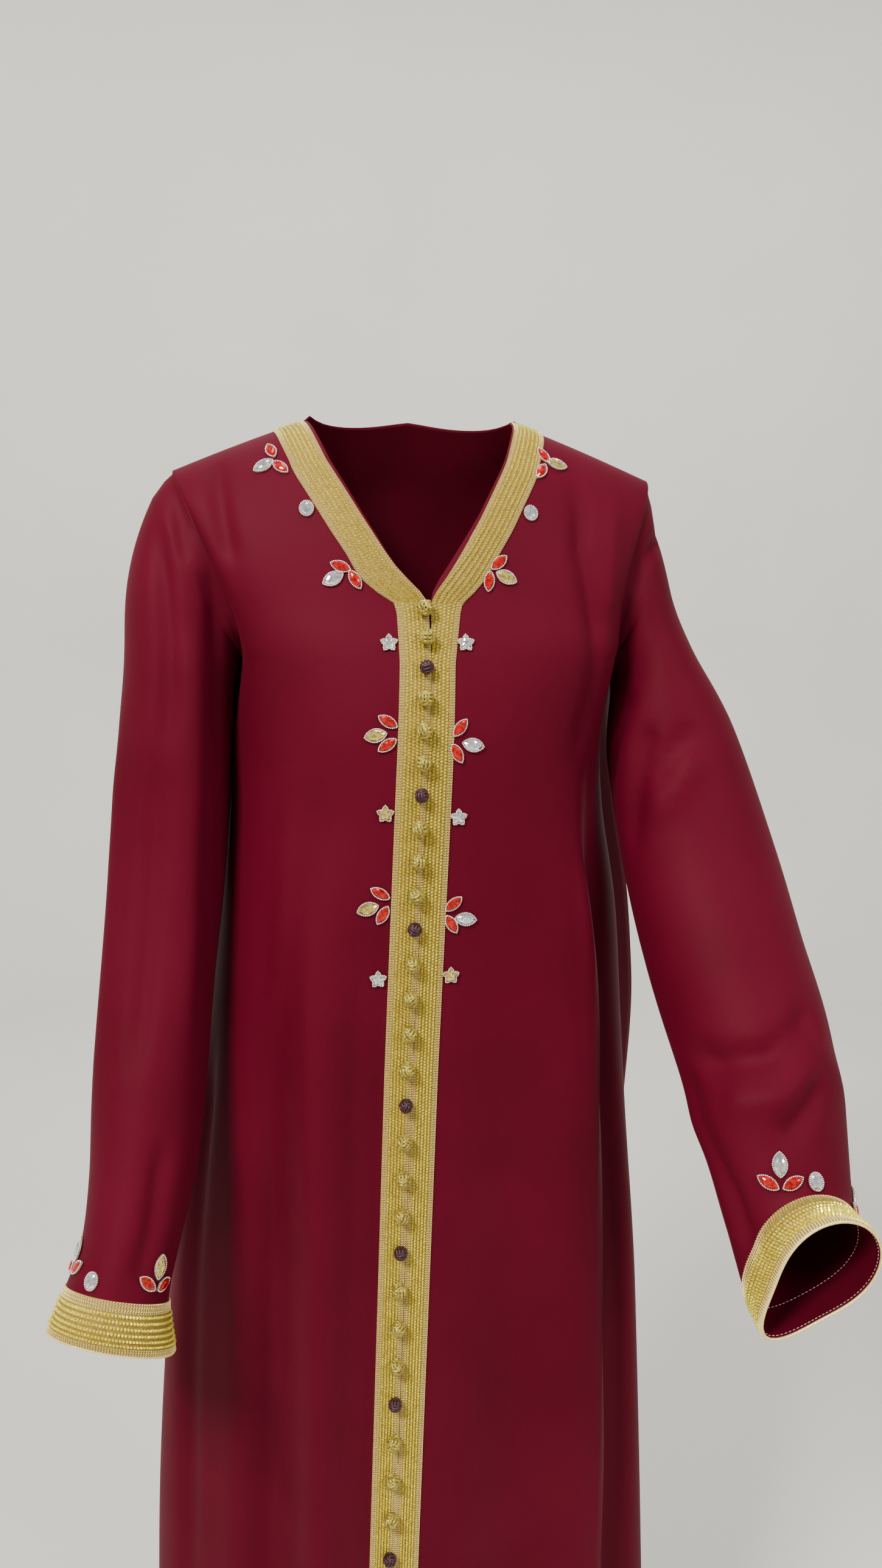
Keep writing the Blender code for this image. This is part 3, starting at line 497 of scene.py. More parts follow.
def shell(name, outer, inner, finishes, closed=False):
    """A cloth wall between two grids. The second finish is its inside."""
    rows, columns = outer.shape[:2]
    base = rows * columns
    spans = columns if closed else columns - 1
    r, c = np.meshgrid(np.arange(rows - 1), np.arange(spans), indexing="ij")
    a = (r * columns + c).ravel()
    b = (r * columns + (c + 1) % columns).ravel()
    e, d = b + columns, a + columns
    front = np.stack([a, d, e, b], 1)
    back = np.stack([a, b, e, d], 1) + base
    c = np.arange(spans)
    n = (c + 1) % columns
    low = (rows - 1) * columns
    rim = [np.stack([c, n, base + n, base + c], 1),
           np.stack([low + n, low + c, base + low + c, base + low + n], 1)]
    if not closed:
        q = np.arange(rows - 1) * columns
        rim.append(np.stack([q + columns, q, base + q, base + q + columns], 1))
        w = q + columns - 1
        rim.append(np.stack([w, w + columns, base + w + columns, base + w], 1))
    rim = np.concatenate(rim)
    faces = np.concatenate([front, rim, back])
    verts = np.concatenate([outer.reshape(-1, 3), inner.reshape(-1, 3)])
    corner = verts[faces[:, :3]] - verts.mean(axis=0)
    if np.einsum("ij,ij->i", corner[:, 0], np.cross(corner[:, 1], corner[:, 2])).sum() < 0:
        faces = faces[:, ::-1]
    inside = np.zeros(len(faces), dtype=int)
    inside[len(front) + len(rim):] = 1
    return add_mesh(name, verts, faces.tolist(), finishes, face_finish=inside)


# Materials
def nodes_of(name):
    made = bpy.data.materials.new(name)
    made.use_nodes = True
    tree = made.node_tree
    return made, tree, tree.nodes["Principled BSDF"]


def link(tree, a, b):
    tree.links.new(a, b)


def put(node, **values):
    """Sets inputs of a node, with _ for the spaces in their names."""
    for name, value in values.items():
        node.inputs[name.replace("_", " ")].default_value = value


def noise(tree, scale, detail):
    where = tree.nodes.new("ShaderNodeTexCoord")
    made = tree.nodes.new("ShaderNodeTexNoise")
    put(made, Scale=scale, Detail=detail, Roughness=0.55)
    link(tree, where.outputs["Object"], made.inputs["Vector"])
    return made


def ramp(tree, source, *stops):
    made = tree.nodes.new("ShaderNodeValToRGB")
    elements = made.color_ramp.elements
    while len(elements) < len(stops):
        elements.new(0.5)
    for element, (place, colour) in zip(elements, stops):
        element.position = place
        element.color = (*colour, 1)
    link(tree, source, made.inputs["Fac"])
    return made


def bump(tree, source, strength, distance, below=None):
    made = tree.nodes.new("ShaderNodeBump")
    put(made, Strength=strength, Distance=distance)
    link(tree, source, made.inputs["Height"])
    if below:
        link(tree, below.outputs["Normal"], made.inputs["Normal"])
    return made


def crepe(name, low, high, sheen):
    """Matt crepe: a fine crinkled grain over a slow change of tone."""
    made, tree, shader = nodes_of(name)
    tone = noise(tree, 9, 2)
    grain = noise(tree, 1400, 2)
    slub = noise(tree, 260, 3)
    colour = ramp(tree, tone.outputs["Fac"], (0.3, low), (0.7, high))
    link(tree, colour.outputs["Color"], shader.inputs["Base Color"])
    fine = bump(tree, grain.outputs["Fac"], 0.35, 0.0003)
    rough = bump(tree, slub.outputs["Fac"], 0.12, 0.0006, fine)
    link(tree, rough.outputs["Normal"], shader.inputs["Normal"])
    put(shader, Roughness=0.62, Specular_IOR_Level=0.06, Sheen_Weight=sheen,
        Sheen_Roughness=0.45, Sheen_Tint=(0.9, 0.10, 0.18, 1))
    return made


def metal(name, low, high, rough, scale, metallic=0.9, strength=0.3):
    """Metallic thread whose tone changes from stitch to stitch."""
    made, tree, shader = nodes_of(name)
    tone = noise(tree, scale, 2)
    colour = ramp(tree, tone.outputs["Fac"], (0.32, low), (0.62, high))
    link(tree, colour.outputs["Color"], shader.inputs["Base Color"])
    thread = noise(tree, 2600, 2)
    fine = bump(tree, thread.outputs["Fac"], strength, 0.0002)
    link(tree, fine.outputs["Normal"], shader.inputs["Normal"])
    put(shader, Metallic=metallic, Roughness=rough)
    return made


def gem(name, low, high, metallic, coat):
    made, tree, shader = nodes_of(name)
    tone = noise(tree, 420, 1)
    colour = ramp(tree, tone.outputs["Fac"], (0.35, low), (0.62, high))
    link(tree, colour.outputs["Color"], shader.inputs["Base Color"])
    put(shader, Metallic=metallic, Roughness=0.06, Coat_Weight=coat, Coat_Roughness=0.03)
    return made


CREPE = crepe("crepe_outside", (.068, .0009, .0080), (.081, .0013, .0104), 0.04)
# The inside faces of the cloth take a darker copy of the crepe: painted shade of the garment's
# inside.
SHADED_INSIDE_CREPE = crepe("crepe_inside_painted_shade", (.054, .0008, .0062), (.066, .0011, .0078), 0.02)
CHAIN = metal("gold_chain", (.70, .47, .12), (1.0, .86, .40), 0.30, 1300, 0.30, 0.5)
THREAD = metal("gold_thread", (.50, .36, .008), (1.0, .90, .11), 0.20, 620, 0.45)
# The sfifa's ground band is dark brown and not metallic: painted shade of the gaps between its rows
# of stitches.
SHADED_GROUND = metal("gold_ground_painted_shade", (.14, .088, .008), (.26, .17, .02), 0.7, 700, 0.0)
KNOT_GOLD = metal("knot_gold", (.15, .11, .010), (.48, .38, .07), 0.34, 520, 0.45)
KNOT_DARK = metal("knot_dark", (.014, .001, .004), (.040, .002, .010), 0.50, 420, 0.0)
RIM = metal("bead_rim", (.72, .58, .56), (1.0, .95, .92), 0.16, 900, 0.80, 0.05)
PLATE = metal("stone_plate", (.26, .18, .12), (.42, .30, .20), 0.45, 500, 0.6)
GEMS = {
    "red": gem("stone_red", (.24, .001, .001), (.56, .006, .004), 0.40, 0.25),
    "clear": gem("stone_clear", (.50, .53, .58), (.98, .99, 1.0), 0.9, 0.8),
    "citrine": gem("stone_citrine", (.36, .25, .04), (.80, .64, .20), 0.75, 0.6),
}
STITCH = metal("stitch_thread", (.46, .30, .32), (.66, .50, .50), 0.6, 300, 0.0)


def ride(piece, slot, *nodes):
    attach(piece, "root")
    if nodes:
        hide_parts(*nodes)


# Cloth
def tree_of(piece):
    mesh = piece.data
    return BVHTree.FromPolygons([v.co.copy() for v in mesh.vertices],
                                [tuple(p.vertices) for p in mesh.polygons])


def build_front(side):
    word = WORDS[side]
    grid = front_grid(side)
    normals = grid_normals(grid, core_of(grid))
    flat = creased("front_" + word, grid, normals)
    flat[:, :4] = grid[:, :4]
    normals = grid_normals(flat, core_of(flat))
    normals[0, :, 1] = 0
    normals[0] = unit(normals[0])
    cloth = shell(f"front_{word}_crepe", flat, flat - WALL * normals, (CREPE, SHADED_INSIDE_CREPE))
    ride(cloth, "crepe", "front_" + word)
    return flat, normals, cloth


def build_back():
    grid = back_grid()
    normals = grid_normals(grid, core_of(grid))
    flat = creased("back", grid, normals)
    normals = grid_normals(flat, core_of(flat))
    cloth = shell("back_crepe", flat, flat - WALL * normals, (CREPE, SHADED_INSIDE_CREPE))
    ride(cloth, "crepe", "back")
    return flat, cloth


def build_sleeve(table, side, front, back):
    word = WORDS[side]
    foot = ARMHOLE_STEPS
    back_edge = back[:foot + 1, -1 if side == LEFT else 0]
    front_edge = front[1:foot, -1][::-1]
    armhole = np.concatenate([back_edge, front_edge])
    grid, cores = sleeve_grid(table, side, armhole)
    normals = grid_normals(grid, cores, closed=True)
    flat = creased("sleeve_" + word, grid, normals)
    flat[0] = grid[0]
    flat[1] = grid[0] * .55 + grid[1] * .45 - SEAM_DIP * normals[1]
    normals = grid_normals(flat, cores, closed=True)
    cloth = shell(f"sleeve_{word}_crepe", flat, flat - WALL * normals, (CREPE, SHADED_INSIDE_CREPE),
                  closed=True)
    ride(cloth, "crepe", "sleeve_" + word)
    return flat, normals, cloth


# Sfifa: a ground band with rows of stitches, laid out by distance from its outer edge
class Strip:
    """Maps the distance along and across a strip, and the height over it, to points."""

    def __init__(self, lines, normals):
        self.lines, self.normals = np.array(lines), np.array(normals)
        middle = self.lines[len(lines) // 2]
        steps = np.linalg.norm(np.diff(middle, axis=0), axis=1)
        self.at = np.concatenate([[0], np.cumsum(steps)])
        self.length = self.at[-1]
        self.wide = np.linalg.norm(np.diff(self.lines, axis=0), axis=2).sum(axis=0)

    def width(self, along):
        return np.interp(along, self.at, self.wide)

    def point(self, along, across, high):
        row = np.clip(across / np.maximum(self.width(along), 1e-6), 0, 1) * (len(self.lines) - 1)
        column = np.interp(along, self.at, np.arange(len(self.at)))
        r = np.minimum(row.astype(int), len(self.lines) - 2)
        c = np.minimum(column.astype(int), len(self.at) - 2)
        down, along_part = (row - r)[..., None], (column - c)[..., None]

        def mix(table):
            upper = table[r, c] * (1 - along_part) + table[r, c + 1] * along_part
            lower = table[r + 1, c] * (1 - along_part) + table[r + 1, c + 1] * along_part
            return upper * (1 - down) + lower * down

        return mix(self.lines) + unit(mix(self.normals)) * np.asarray(high)[..., None]


def joined(parts):
    """Several sets of points and faces as one."""
    starts = np.cumsum([0] + [len(verts) for verts, _ in parts])
    return (np.concatenate([verts for verts, _ in parts]),
            np.concatenate([faces + start for (_, faces), start in zip(parts, starts)]))


def round_again(rows):
    """Closed rows with their first column repeated as the last."""
    return np.concatenate([rows, rows[:, :1]], axis=1)


def build_edge_cord(word, grid, normals):
    """A thin gold cord round the edge of a cuff."""
    down = unit(grid[-1] - grid[-3])
    ring = round_again((grid[-1] - normals[-1] * WALL * .35 + down * .0004)[None])[0]
    steps = np.concatenate([[0], np.cumsum(np.linalg.norm(np.diff(ring, axis=0), axis=1))])
    count = 2 * int(steps[-1] / .0012)
    at = np.arange(count) * steps[-1] / count
    facing = round_again(normals[-1:])[0]
    path, up = [np.stack([np.interp(at, steps, table[:, i]) for i in range(3)], -1)
                for table in (ring, facing)]
    thick = np.where(np.arange(count) % 2, .00115, .00088)[:, None, None]
    verts, faces = tube(path, unit(up), thick)
    ride(add_mesh(f"cuff_{word}_edge", verts, faces.tolist(), (CHAIN,)), "gold_braid")


def build_hem_stitches(word, grid, normals):
    """Two rows of light stitches on the inside of a cuff, where its band is sewn on."""
    inside = Strip(round_again(grid - WALL * normals), -round_again(normals))
    number = int(inside.length / HEM_PITCH)
    at = (np.arange(number) + 0.5) * inside.length / number
    verts, faces = joined([
        stitches(inside, at, inside.width(at) * share, np.zeros(number), HEM_PITCH * .38, .00028,
                 .0005) for share in (0.16, 0.90)])
    ride(add_mesh(f"stitching_{word}", verts, faces.tolist(), (STITCH,), False), "crepe")


def stitches(strip, along, across, heading, long, wide, high):
    """Low roof-shaped stitches at places on a strip, each with its own heading."""
    ahead = np.stack([np.cos(heading), np.sin(heading)], -1)
    aside = np.stack([-ahead[:, 1], ahead[:, 0]], -1)
    here = np.stack([along, across], -1)
    base = 0.2 * high
    places = [(ahead * long, base), (aside * wide, base), (-ahead * long, base),
              (-aside * wide, base), (ahead * long * .45, high), (-ahead * long * .45, high)]
    corners = []
    for step, lift in places:
        at = here + step
        corners.append(strip.point(np.clip(at[:, 0], 0, strip.length), at[:, 1],
                                   np.full(len(at), lift)))
    verts = np.stack(corners, 1).reshape(-1, 3)
    pattern = np.array([(0, 1, 4), (1, 5, 4), (1, 2, 5), (2, 3, 5), (3, 4, 5), (3, 0, 4)])
    faces = (np.arange(len(along))[:, None, None] * 6 + pattern).reshape(-1, 3)
    return verts, faces


IS_CHAIN, IS_ROPE = 0, 1
CHAIN_WIDE = 0.0023
CHAIN_PITCH = 0.0021
ROPE_PITCH = 0.0026
HEM_PITCH = 0.0030
BAND_ROWS = 10


def build_braid(name, strip, node, chains, ropes, pattern_width, base_high, closed=False):
    """Ground band, chain rows at both edges and slanted metallic rows between them."""
    count = max(int(strip.length / 0.006), 24)
    along = np.linspace(0, strip.length, count)
    wide = strip.width(along)
    rows = []
    for share, high in ((0, .35), (.03, 1.0), (.5, 1.0), (.97, 1.0), (1, .35)):
        rows.append(strip.point(along, wide * share, np.full(count, base_high * high)))
    top = np.stack(rows, 1)
    low = np.stack([strip.point(along, wide * share, np.full(count, LIFT * .4))
                    for share in (0, .03, .5, .97, 1)], 1)
    if closed:
        top[-1], low[-1] = top[0], low[0]
    # The ground band's dark finish is painted shade between the rows of stitches.
    ground = shell(name + "_ground", top, low, (SHADED_GROUND, SHADED_GROUND))
    ride(ground, "gold_braid", node)

    rng = np.random.default_rng(7)
    edges = [index * CHAIN_WIDE + CHAIN_WIDE / 2 for index in range(chains)]
    rope = 1 / ropes
    layout = [(IS_CHAIN, place) for place in edges]
    layout += [(IS_ROPE, (index + 0.5) * rope) for index in range(ropes)]
    layout += [(IS_CHAIN, -place) for place in edges]
    parts, kinds = [], []
    for kind, place in layout:
        pitch = CHAIN_PITCH if kind == IS_CHAIN else ROPE_PITCH
        number = int(strip.length / pitch)
        at = (np.arange(number) + 0.5) * strip.length / number
        full = pattern_width(at)
        room = full - 2 * chains * CHAIN_WIDE
        visible = strip.width(at)
        if kind == IS_CHAIN:
            for half, turn in ((-1, 1), (1, -1)):
                across = place + full * (place < 0) + half * CHAIN_WIDE * .24
                keep = across < visible - CHAIN_WIDE * .15
                parts.append(stitches(strip, at[keep], across[keep],
                                      np.full(keep.sum(), turn * .62), pitch * .62,
                                      CHAIN_WIDE * .27, base_high + .00055))
                kinds.append(np.full(len(parts[-1][1]), IS_CHAIN))
        else:
            across = chains * CHAIN_WIDE + place * room
            odd = int(round(place * 2 * ropes)) % 4 == 1
            shift = (0.5 if odd else 0.0) * strip.length / number
            keep = across < visible - .0008
            start = np.clip(at[keep] + shift * .9, 0, strip.length)
            lean = 0.50 + 0.16 * rng.standard_normal(keep.sum())
            parts.append(stitches(strip, start, across[keep], lean, ROPE_PITCH * .66,
                                  float(np.mean(room)) * rope * .44, base_high + .0015))
            kinds.append(np.full(len(parts[-1][1]), IS_ROPE))
    verts, faces = joined(parts)
    corner = verts[faces]
    facing = np.cross(corner[:, 1] - corner[:, 0], corner[:, 2] - corner[:, 0])
    where = corner.mean(axis=1)
    nearest = np.abs(where[:, None, :] - strip.lines[0][None, ::6]).sum(-1).argmin(1)
    if np.sum(facing * strip.normals[0][::6][nearest]) < 0:
        faces = faces[:, ::-1]
    braid = add_mesh(name + "_braid", verts, faces.tolist(), (CHAIN, THREAD), False,
                     np.concatenate(kinds))
    ride(braid, "gold_braid")
    return ground


# Knot buttons
KNOT_CORD = 0.185
KNOT_APART = 2.25
KNOT_TILT = 0.5
KNOT_STEPS = 22


def tube(path, normals, radius, sides=6):
    """Closed tube round a closed path."""
    ahead = unit(np.roll(path, -1, axis=0) - np.roll(path, 1, axis=0))
    side = unit(np.cross(ahead, normals))
    up = np.cross(side, ahead)
    angles = 2 * math.pi * np.arange(sides) / sides
    rings = (path[:, None] + radius * (np.cos(angles)[None, :, None] * side[:, None]
                                       + np.sin(angles)[None, :, None] * up[:, None]))
    count = len(path)
    i, j = np.meshgrid(np.arange(count), np.arange(sides), indexing="ij")
    a = i * sides + j
    b = i * sides + (j + 1) % sides
    c = ((i + 1) % count) * sides + (j + 1) % sides
    d = ((i + 1) % count) * sides + j
    return rings.reshape(-1, 3), np.stack([a, b, c, d], -1).reshape(-1, 4)


def knot(centre, out, up, wide, turn):
    """A woven ball of three crossing groups of three cords."""
    radius = wide / 2
    cord = radius * KNOT_CORD
    across = np.cross(up, out)
    first = unit(np.cos(turn) * across + np.sin(turn) * up + KNOT_TILT * out)
    second = np.cos(turn) * up - np.sin(turn) * across
    axes = (first, second, unit(np.cross(first, second)))
    phi = 2 * math.pi * np.arange(KNOT_STEPS) / KNOT_STEPS
    parts = []
    for index in range(3):
        a, b, c = axes[index], axes[(index + 1) % 3], axes[(index + 2) % 3]
        for lane in (-1, 0, 1):
            offset = lane * cord * KNOT_APART
            reach = (radius - cord) * (0.90 - 0.10 * np.cos(2 * phi)) - abs(lane) * cord * .35
            ring = (np.cos(phi)[:, None] * b + np.sin(phi)[:, None] * c)
            path = centre + ring * reach[:, None] + a * offset
            parts.append(tube(path, unit(path - centre), cord))
    return joined(parts)


def cast(trees, origin, direction):
    hits = [tree.ray_cast(Vector(origin), Vector(direction)) for tree in trees]
    hits = [hit for hit in hits if hit[0] is not None]
    if not hits:
        return None
    point, normal = min(hits, key=lambda hit: hit[3])[:2]
    if normal.dot(Vector(direction)) > 0:
        normal = -normal
    return np.array(point), np.array(normal)


def build_buttons(trees):
    z, pitch, number = BUTTON_FIRST, BUTTON_PITCH, 0
    rng = np.random.default_rng(11)
    for run in BUTTON_RUNS:
        for place in range(run + 1):
            dark = place == run
            number += 1
            x = by_height("right", z) + BUTTON_ASIDE
            wide = DARK_BUTTON if dark else GOLD_BUTTON
            hits = [cast(trees, (x + dx, -1, z + dz), (0, 1, 0))
                    for dx, dz in ((0, 0), (-.004, 0), (.004, 0), (0, .004), (0, -.004))]
            hits = [hit for hit in hits if hit]
            out = unit(sum(hit[1] for hit in hits))
            up = unit(np.cross(out, np.cross((0, 0, 1), out)))
            centre = hits[0][0] + out * (wide * .40 + .0016)
            v, f = knot(centre, out, up, wide * 1.04, rng.uniform(0, math.pi))
            finish = KNOT_DARK if dark else KNOT_GOLD
            piece = add_mesh(f"knot_{number:02d}", v, f.tolist(), (finish,))
            ride(piece, "dark_knot" if dark else "gold_knot", f"button_{number:02d}")
            z -= pitch
            pitch += BUTTON_SPREAD


# Stones
def pointed(long, wide, sides=16):
    t = 2 * math.pi * np.arange(sides) / sides
    y = np.sign(np.sin(t)) * (1 - np.cos(t) ** 2) ** .78
    return np.stack([long / 2 * np.cos(t), wide / 2 * y], 1)


def rounded(long, wide, sides=16):
    t = 2 * math.pi * np.arange(sides) / sides
    return np.stack([wide / 2 * np.cos(t), long / 2 * np.sin(t)], 1)


def starred(wide, sides=20):
    t = 2 * math.pi * np.arange(sides) / sides + math.pi / 2
    wave = np.cos(5 * (t - math.pi / 2))
    reach = wide / 2 * (.80 + .20 * wave)
    return np.stack([reach * np.cos(t), reach * np.sin(t)], 1)


def ball(radius):
    """A small bead of twenty faces."""
    g = (1 + 5 ** .5) / 2
    v = np.array([(-1, g, 0), (1, g, 0), (-1, -g, 0), (1, -g, 0), (0, -1, g), (0, 1, g),
                  (0, -1, -g), (0, 1, -g), (g, 0, -1), (g, 0, 1), (-g, 0, -1), (-g, 0, 1)])
    f = np.array([(0, 11, 5), (0, 5, 1), (0, 1, 7), (0, 7, 10), (0, 10, 11), (1, 5, 9), (5, 11, 4),
                  (11, 10, 2), (10, 7, 6), (7, 1, 8), (3, 9, 4), (3, 4, 2), (3, 2, 6), (3, 6, 8),
                  (3, 8, 9), (4, 9, 5), (2, 4, 11), (6, 2, 10), (8, 6, 7), (9, 8, 1)])
    return unit(v) * radius, f


BEAD = 0.00070
BEAD_V, BEAD_F = ball(BEAD)
LEAF_SHAPES = (pointed(*SMALL_STONE), pointed(*LARGE_STONE), pointed(*SMALL_STONE))


def stone_parts(outline):
    """Plate, faceted gem and bead rim of one stone, flat at height 0, as lists by finish."""
    count = len(outline)
    index = np.arange(count)
    after = (index + 1) % count
    plate_v = np.concatenate([np.c_[outline, np.zeros(count)],
                              np.c_[outline * .98, np.full(count, .0008)]])
    plate_f = [list(index[::-1]), list(index + count)]
    plate_f += [[a, b, b + count, a + count] for a, b in zip(index, after)]
    rings = ((.84, .0008), (.80, .0016), (.60, .0027), (.36, .0031))
    gem_v = np.concatenate([np.c_[outline * scale, np.full(count, high)] for scale, high in rings])
    gem_f = []
    for ring in range(len(rings) - 1):
        low, high = ring * count, (ring + 1) * count
        for a, b in zip(index, after):
            gem_f += [[a + low, b + low, b + high], [a + low, b + high, a + high]]
    gem_f.append(list(index + (len(rings) - 1) * count))
    ring = np.concatenate([outline, outline[:1]]) * .93
    steps = np.linalg.norm(np.diff(ring, axis=0), axis=1)
    at = np.concatenate([[0], np.cumsum(steps)])
    number = int(at[-1] / (BEAD * 2.05))
    places = np.arange(number) * at[-1] / number
    beads = np.stack([np.interp(places, at, ring[:, 0]), np.interp(places, at, ring[:, 1]),
                      np.full(number, .0013)], 1)
    bead_v = (beads[:, None] + BEAD_V[None]).reshape(-1, 3)
    bead_f = (np.arange(number)[:, None, None] * len(BEAD_V) + BEAD_F[None]).reshape(-1, 3)
    return (plate_v, plate_f), (gem_v, gem_f), (bead_v, bead_f.tolist())


def seat(outline, origin, direction, upward, cloth):
    """Frame of a flat piece that rests on cloth where a ray meets it: centre, right, up, out."""
    direction = unit(np.array(direction, dtype=float))
    right = unit(np.cross(direction, upward))
    up = np.cross(right, direction)
    hit = cast(cloth, origin, direction)
    if hit is None:
        return None
    centre, normals, rim = hit[0], [hit[1]], []
    for x, y in outline[::2]:
        found = cast(cloth, np.array(origin) + right * x + up * y, direction)
        if found is not None and np.linalg.norm(found[0] - centre) < .03:
            rim.append(found[0])
            normals.append(found[1])
    out = unit(np.sum(normals, axis=0))
    rise = max([0] + [float((point - centre) @ out) for point in rim])
    right = unit(right - out * (right @ out))
    up = np.cross(out, right)
    if up @ np.array(upward) < 0:
        up = -up
    return centre + out * (rise + .0004), right, up, out


def build_motif(kind, number, side, stones, cloth, upward=(0, 0, 1)):
    """One piece of several stones, each as outline, heading, colour, origin and direction."""
    verts, faces, kinds, total = [], [], [], 0
    colours = sorted({stone[2] for stone in stones})
    finishes = [PLATE, RIM] + [GEMS[colour] for colour in colours]
    for outline, heading, colour, origin, direction in stones:
        c, s = math.cos(heading), math.sin(heading)
        turned = outline @ np.array([[c, s], [-s, c]])
        place = seat(turned, origin, direction, upward, cloth)
        if place is None:
            continue
        centre, right, up, out = place
        for slot, (v, f) in zip((0, 2 + colours.index(colour), 1), stone_parts(turned)):
            world = centre + v[:, :1] * right + v[:, 1:2] * up + v[:, 2:] * out
            verts.append(world)
            faces += [[i + total for i in face] for face in f]
            kinds += [slot] * len(f)
            total += len(v)
    piece = add_mesh(f"stones_{kind}_{number}", np.concatenate(verts), faces, finishes, False,
                     kinds)
    for polygon in piece.data.polygons:
        polygon.use_smooth = polygon.material_index == 1
    ride(piece, "stone", f"{kind}_{WORDS[side]}_{number}")


def build_stones(cloth):
    ahead = (0, 1, 0)
    for number, (side, colour, *stones) in enumerate(LEAVES, 1):
        rows = []
        for (x, z, turn), shape, tint in zip(stones, LEAF_SHAPES, ("red", colour, "red")):
            rows.append((shape, math.radians(turn), tint, (x, -1, z), ahead))
        build_motif("leaf", number, side, rows, cloth)
    for kind, shape, places in (("star", starred(STAR_WIDE), STARS),
                                ("oval", rounded(*OVAL_STONE), OVALS)):
        for number, (side, x, z, colour) in enumerate(places, 1):
            build_motif(kind, number, side, [(shape, 0, colour, (x, -1, z), ahead)], cloth)


def sleeve_place(grid, share, above, top):
    """A point of a sleeve above the row where its band starts, out of the cloth and up it."""
    at = share * grid.shape[1]
    low, part = int(at) % grid.shape[1], at - int(at)
    column = grid[:, low] * (1 - part) + grid[:, (low + 1) % grid.shape[1]] * part
    beside = grid[:, (low + 1) % grid.shape[1]] - grid[:, low]
    row = top
    while np.linalg.norm(column[row] - column[top]) < above and row > 4:
        row -= 1
    up = unit(column[row - 2] - column[row + 2])
    out = unit(np.cross(up, beside[row]))
    if out @ (column[row] - grid[row].mean(axis=0)) < 0:
        out = -out
    return column[row], out, up


def build_cuff_stones(sleeves):
    for number, (side, share, above, colour) in enumerate(CUFF_LEAVES, 1):
        grid, tree = sleeves[side]
        point, out, up = sleeve_place(grid, share, above, len(grid) - 1 - BAND_ROWS)
        right = np.cross(up, out)
        rows = []
        for (x, y, turn), shape, tint in zip(CUFF_LEAF, LEAF_SHAPES, ("red", colour, "red")):
            origin = point + right * x + up * y + out * .03
            rows.append((shape, math.radians(turn), tint, origin, -out))
        build_motif("cuff_leaf", number, side, rows, (tree,), up)
    for number, (side, share, above) in enumerate(CUFF_OVALS, 1):
        grid, tree = sleeves[side]
        point, out, up = sleeve_place(grid, share, above, len(grid) - 1 - BAND_ROWS)
        stone = (rounded(*OVAL_STONE), 0, "clear", point + out * .03, -out)
        build_motif("cuff_oval", number, side, [stone], (tree,), up)


# Floor, light and camera
FLOOR = -1.45
COVE_REACH = 4.6
COVE_ROUND = 1.3
COVE_TOP = 3.4
COVE_STEPS = 12
COVE_SIDES = 96
SENSOR = 36
PHOTO_HIGH = 2576
FOCAL_PIXELS = 1896
CAMERA_PLACE = (-.1192, -1.0133, -.19)
CAMERA_DOWN = 6.57
CAMERA_TURN = -8


def add_area(name, place, aim, size, power, colour=(1, 1, 1)):
    light = bpy.data.lights.new(name, "AREA")
    light.shape = "RECTANGLE"
    light.size, light.size_y = size
    light.energy = power
    light.color = colour
    thing = bpy.data.objects.new(name, light)
    bpy.context.collection.objects.link(thing)
    thing.location = place
    thing.rotation_euler = (Vector(aim) - Vector(place)).to_track_quat("-Z", "Y").to_euler()


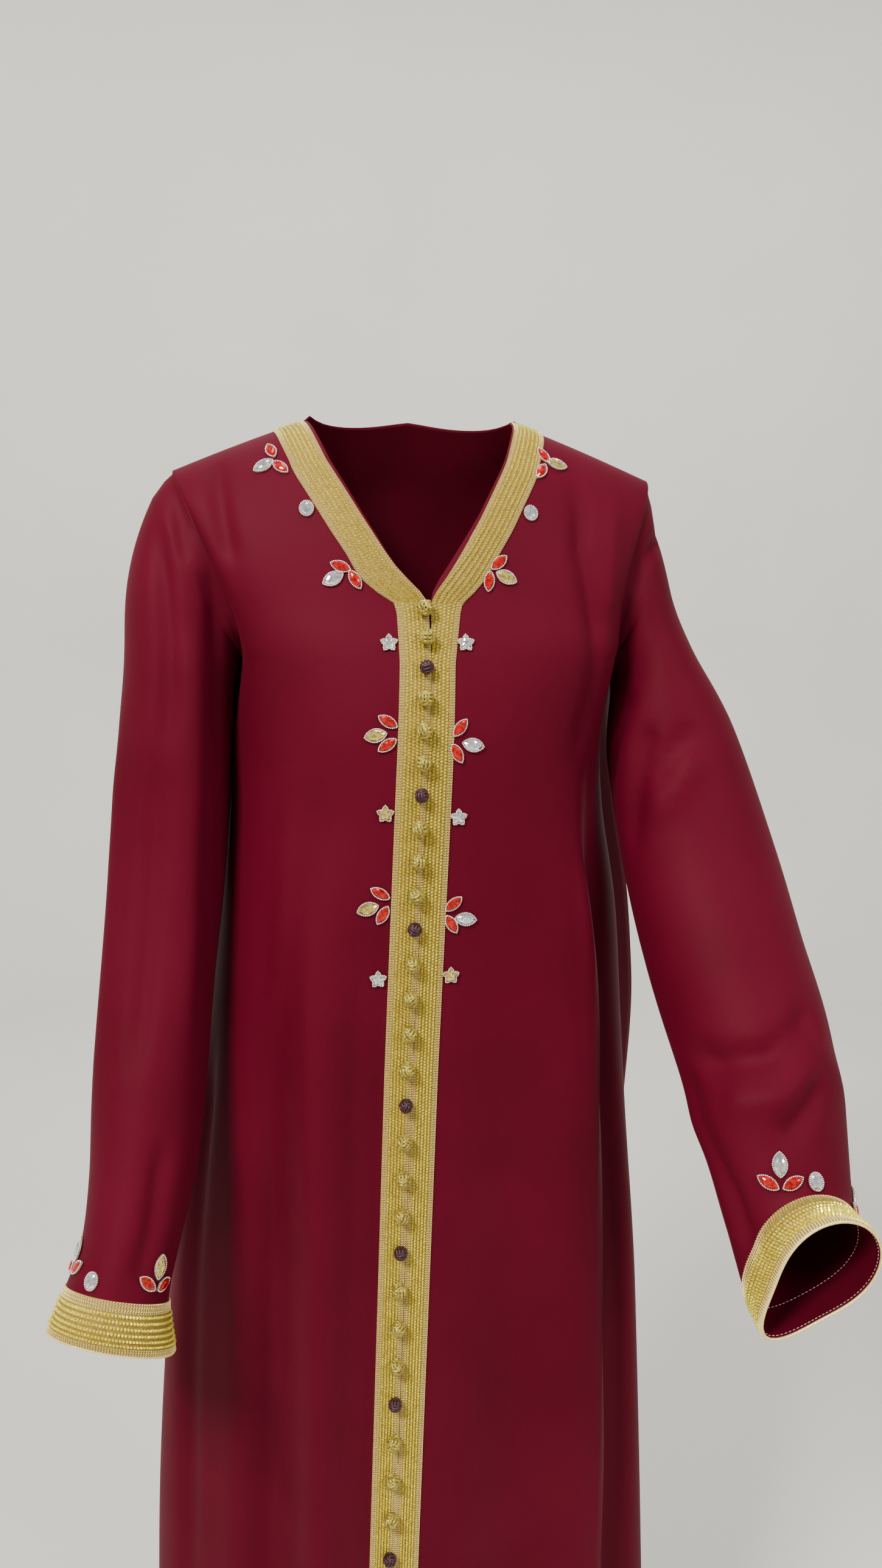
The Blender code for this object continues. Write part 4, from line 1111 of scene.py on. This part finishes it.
def build_stage():
    camera = bpy.data.cameras.new("camera")
    camera.sensor_fit = "VERTICAL"
    camera.sensor_height = SENSOR
    camera.lens = SENSOR * FOCAL_PIXELS / PHOTO_HIGH
    thing = bpy.data.objects.new("camera", camera)
    bpy.context.collection.objects.link(thing)
    thing.location = CAMERA_PLACE
    thing.rotation_euler = (math.radians(90 - CAMERA_DOWN), 0, math.radians(CAMERA_TURN))
    bpy.context.scene.camera = thing

    finish, tree, shader = nodes_of("studio_paint")
    tone = noise(tree, 1.5, 2)
    colour = ramp(tree, tone.outputs["Fac"], (0.3, (.63, .615, .575)), (0.7, (.66, .645, .605)))
    link(tree, colour.outputs["Color"], shader.inputs["Base Color"])
    put(shader, Roughness=0.9, Specular_IOR_Level=0.0)
    profile = [(.02, FLOOR), (1.2, FLOOR), (COVE_REACH - COVE_ROUND, FLOOR)]
    for step in range(1, COVE_STEPS + 1):
        turn = math.pi / 2 * step / COVE_STEPS
        profile.append((COVE_REACH - COVE_ROUND * (1 - math.sin(turn)),
                        FLOOR + COVE_ROUND * (1 - math.cos(turn))))
    profile += [(COVE_REACH, 1.2), (COVE_REACH, COVE_TOP)]
    count = COVE_SIDES
    verts = [(reach * math.cos(2 * math.pi * i / count), reach * math.sin(2 * math.pi * i / count),
              z) for reach, z in profile for i in range(count)]
    faces = [(r * count + i, r * count + (i + 1) % count, (r + 1) * count + (i + 1) % count,
              (r + 1) * count + i) for r in range(len(profile) - 1) for i in range(count)]
    add_mesh("studio", verts, [face[::-1] for face in faces], (finish,))

    world = bpy.data.worlds.new("studio")
    bpy.context.scene.world = world
    world.use_nodes = True
    background = world.node_tree.nodes["Background"]
    put(background, Color=(.93, .93, .95, 1), Strength=0.54)
    add_area("key", (-1.7, -2.1, 1.9), (0, 0, -.4), (.8, .8), 195, (1, .98, .95))
    add_area("fill", (1.7, -2.3, 1.4), (0, 0, -.35), (1.0, 1.0), 60, (.96, .98, 1))
    add_area("top", (0, -.2, 2.5), (0, 0, -.2), (1.2, 1.2), 26)
    add_area("wall", (0, 1.6, 2.6), (0, 4.2, -.2), (3.0, 1.0), 120)


def main():
    build_stage()
    right, right_normals, right_cloth = build_front(RIGHT)
    left, left_normals, left_cloth = build_front(LEFT)
    back, back_cloth = build_back()
    sleeves = {}
    for table, side, front in ((HANGING, RIGHT, right), (RAISED, LEFT, left)):
        word = WORDS[side]
        grid, normals, cloth = build_sleeve(table, side, front, back)
        sleeves[side] = (grid, tree_of(cloth))
        last = len(grid) - 1
        rows = slice(last - BAND_ROWS, last + 1)
        strip = Strip(round_again(grid[rows]), round_again(normals[rows]))
        build_braid(f"cuff_{word}", strip, "cuff_sfifa_" + word, 3, 6, strip.width, .0010,
                    closed=True)
        build_hem_stitches(word, grid[rows], normals[rows])
        build_edge_cord(word, grid[rows], normals[rows])
    trees = []
    for side, grid, normals in ((RIGHT, right, right_normals), (LEFT, left, left_normals)):
        word = WORDS[side]
        strip = Strip(grid[:, 3:0:-1].swapaxes(0, 1), normals[:, 3:0:-1].swapaxes(0, 1))
        if side == RIGHT:
            whole = strip
        ground = build_braid(f"strip_{word}", strip, "sfifa_" + word, 2, 5, whole.width, .0010)
        trees.append(tree_of(ground))
    build_buttons(trees)
    build_stones((tree_of(right_cloth), tree_of(left_cloth)))
    build_cuff_stones(sleeves)


main()
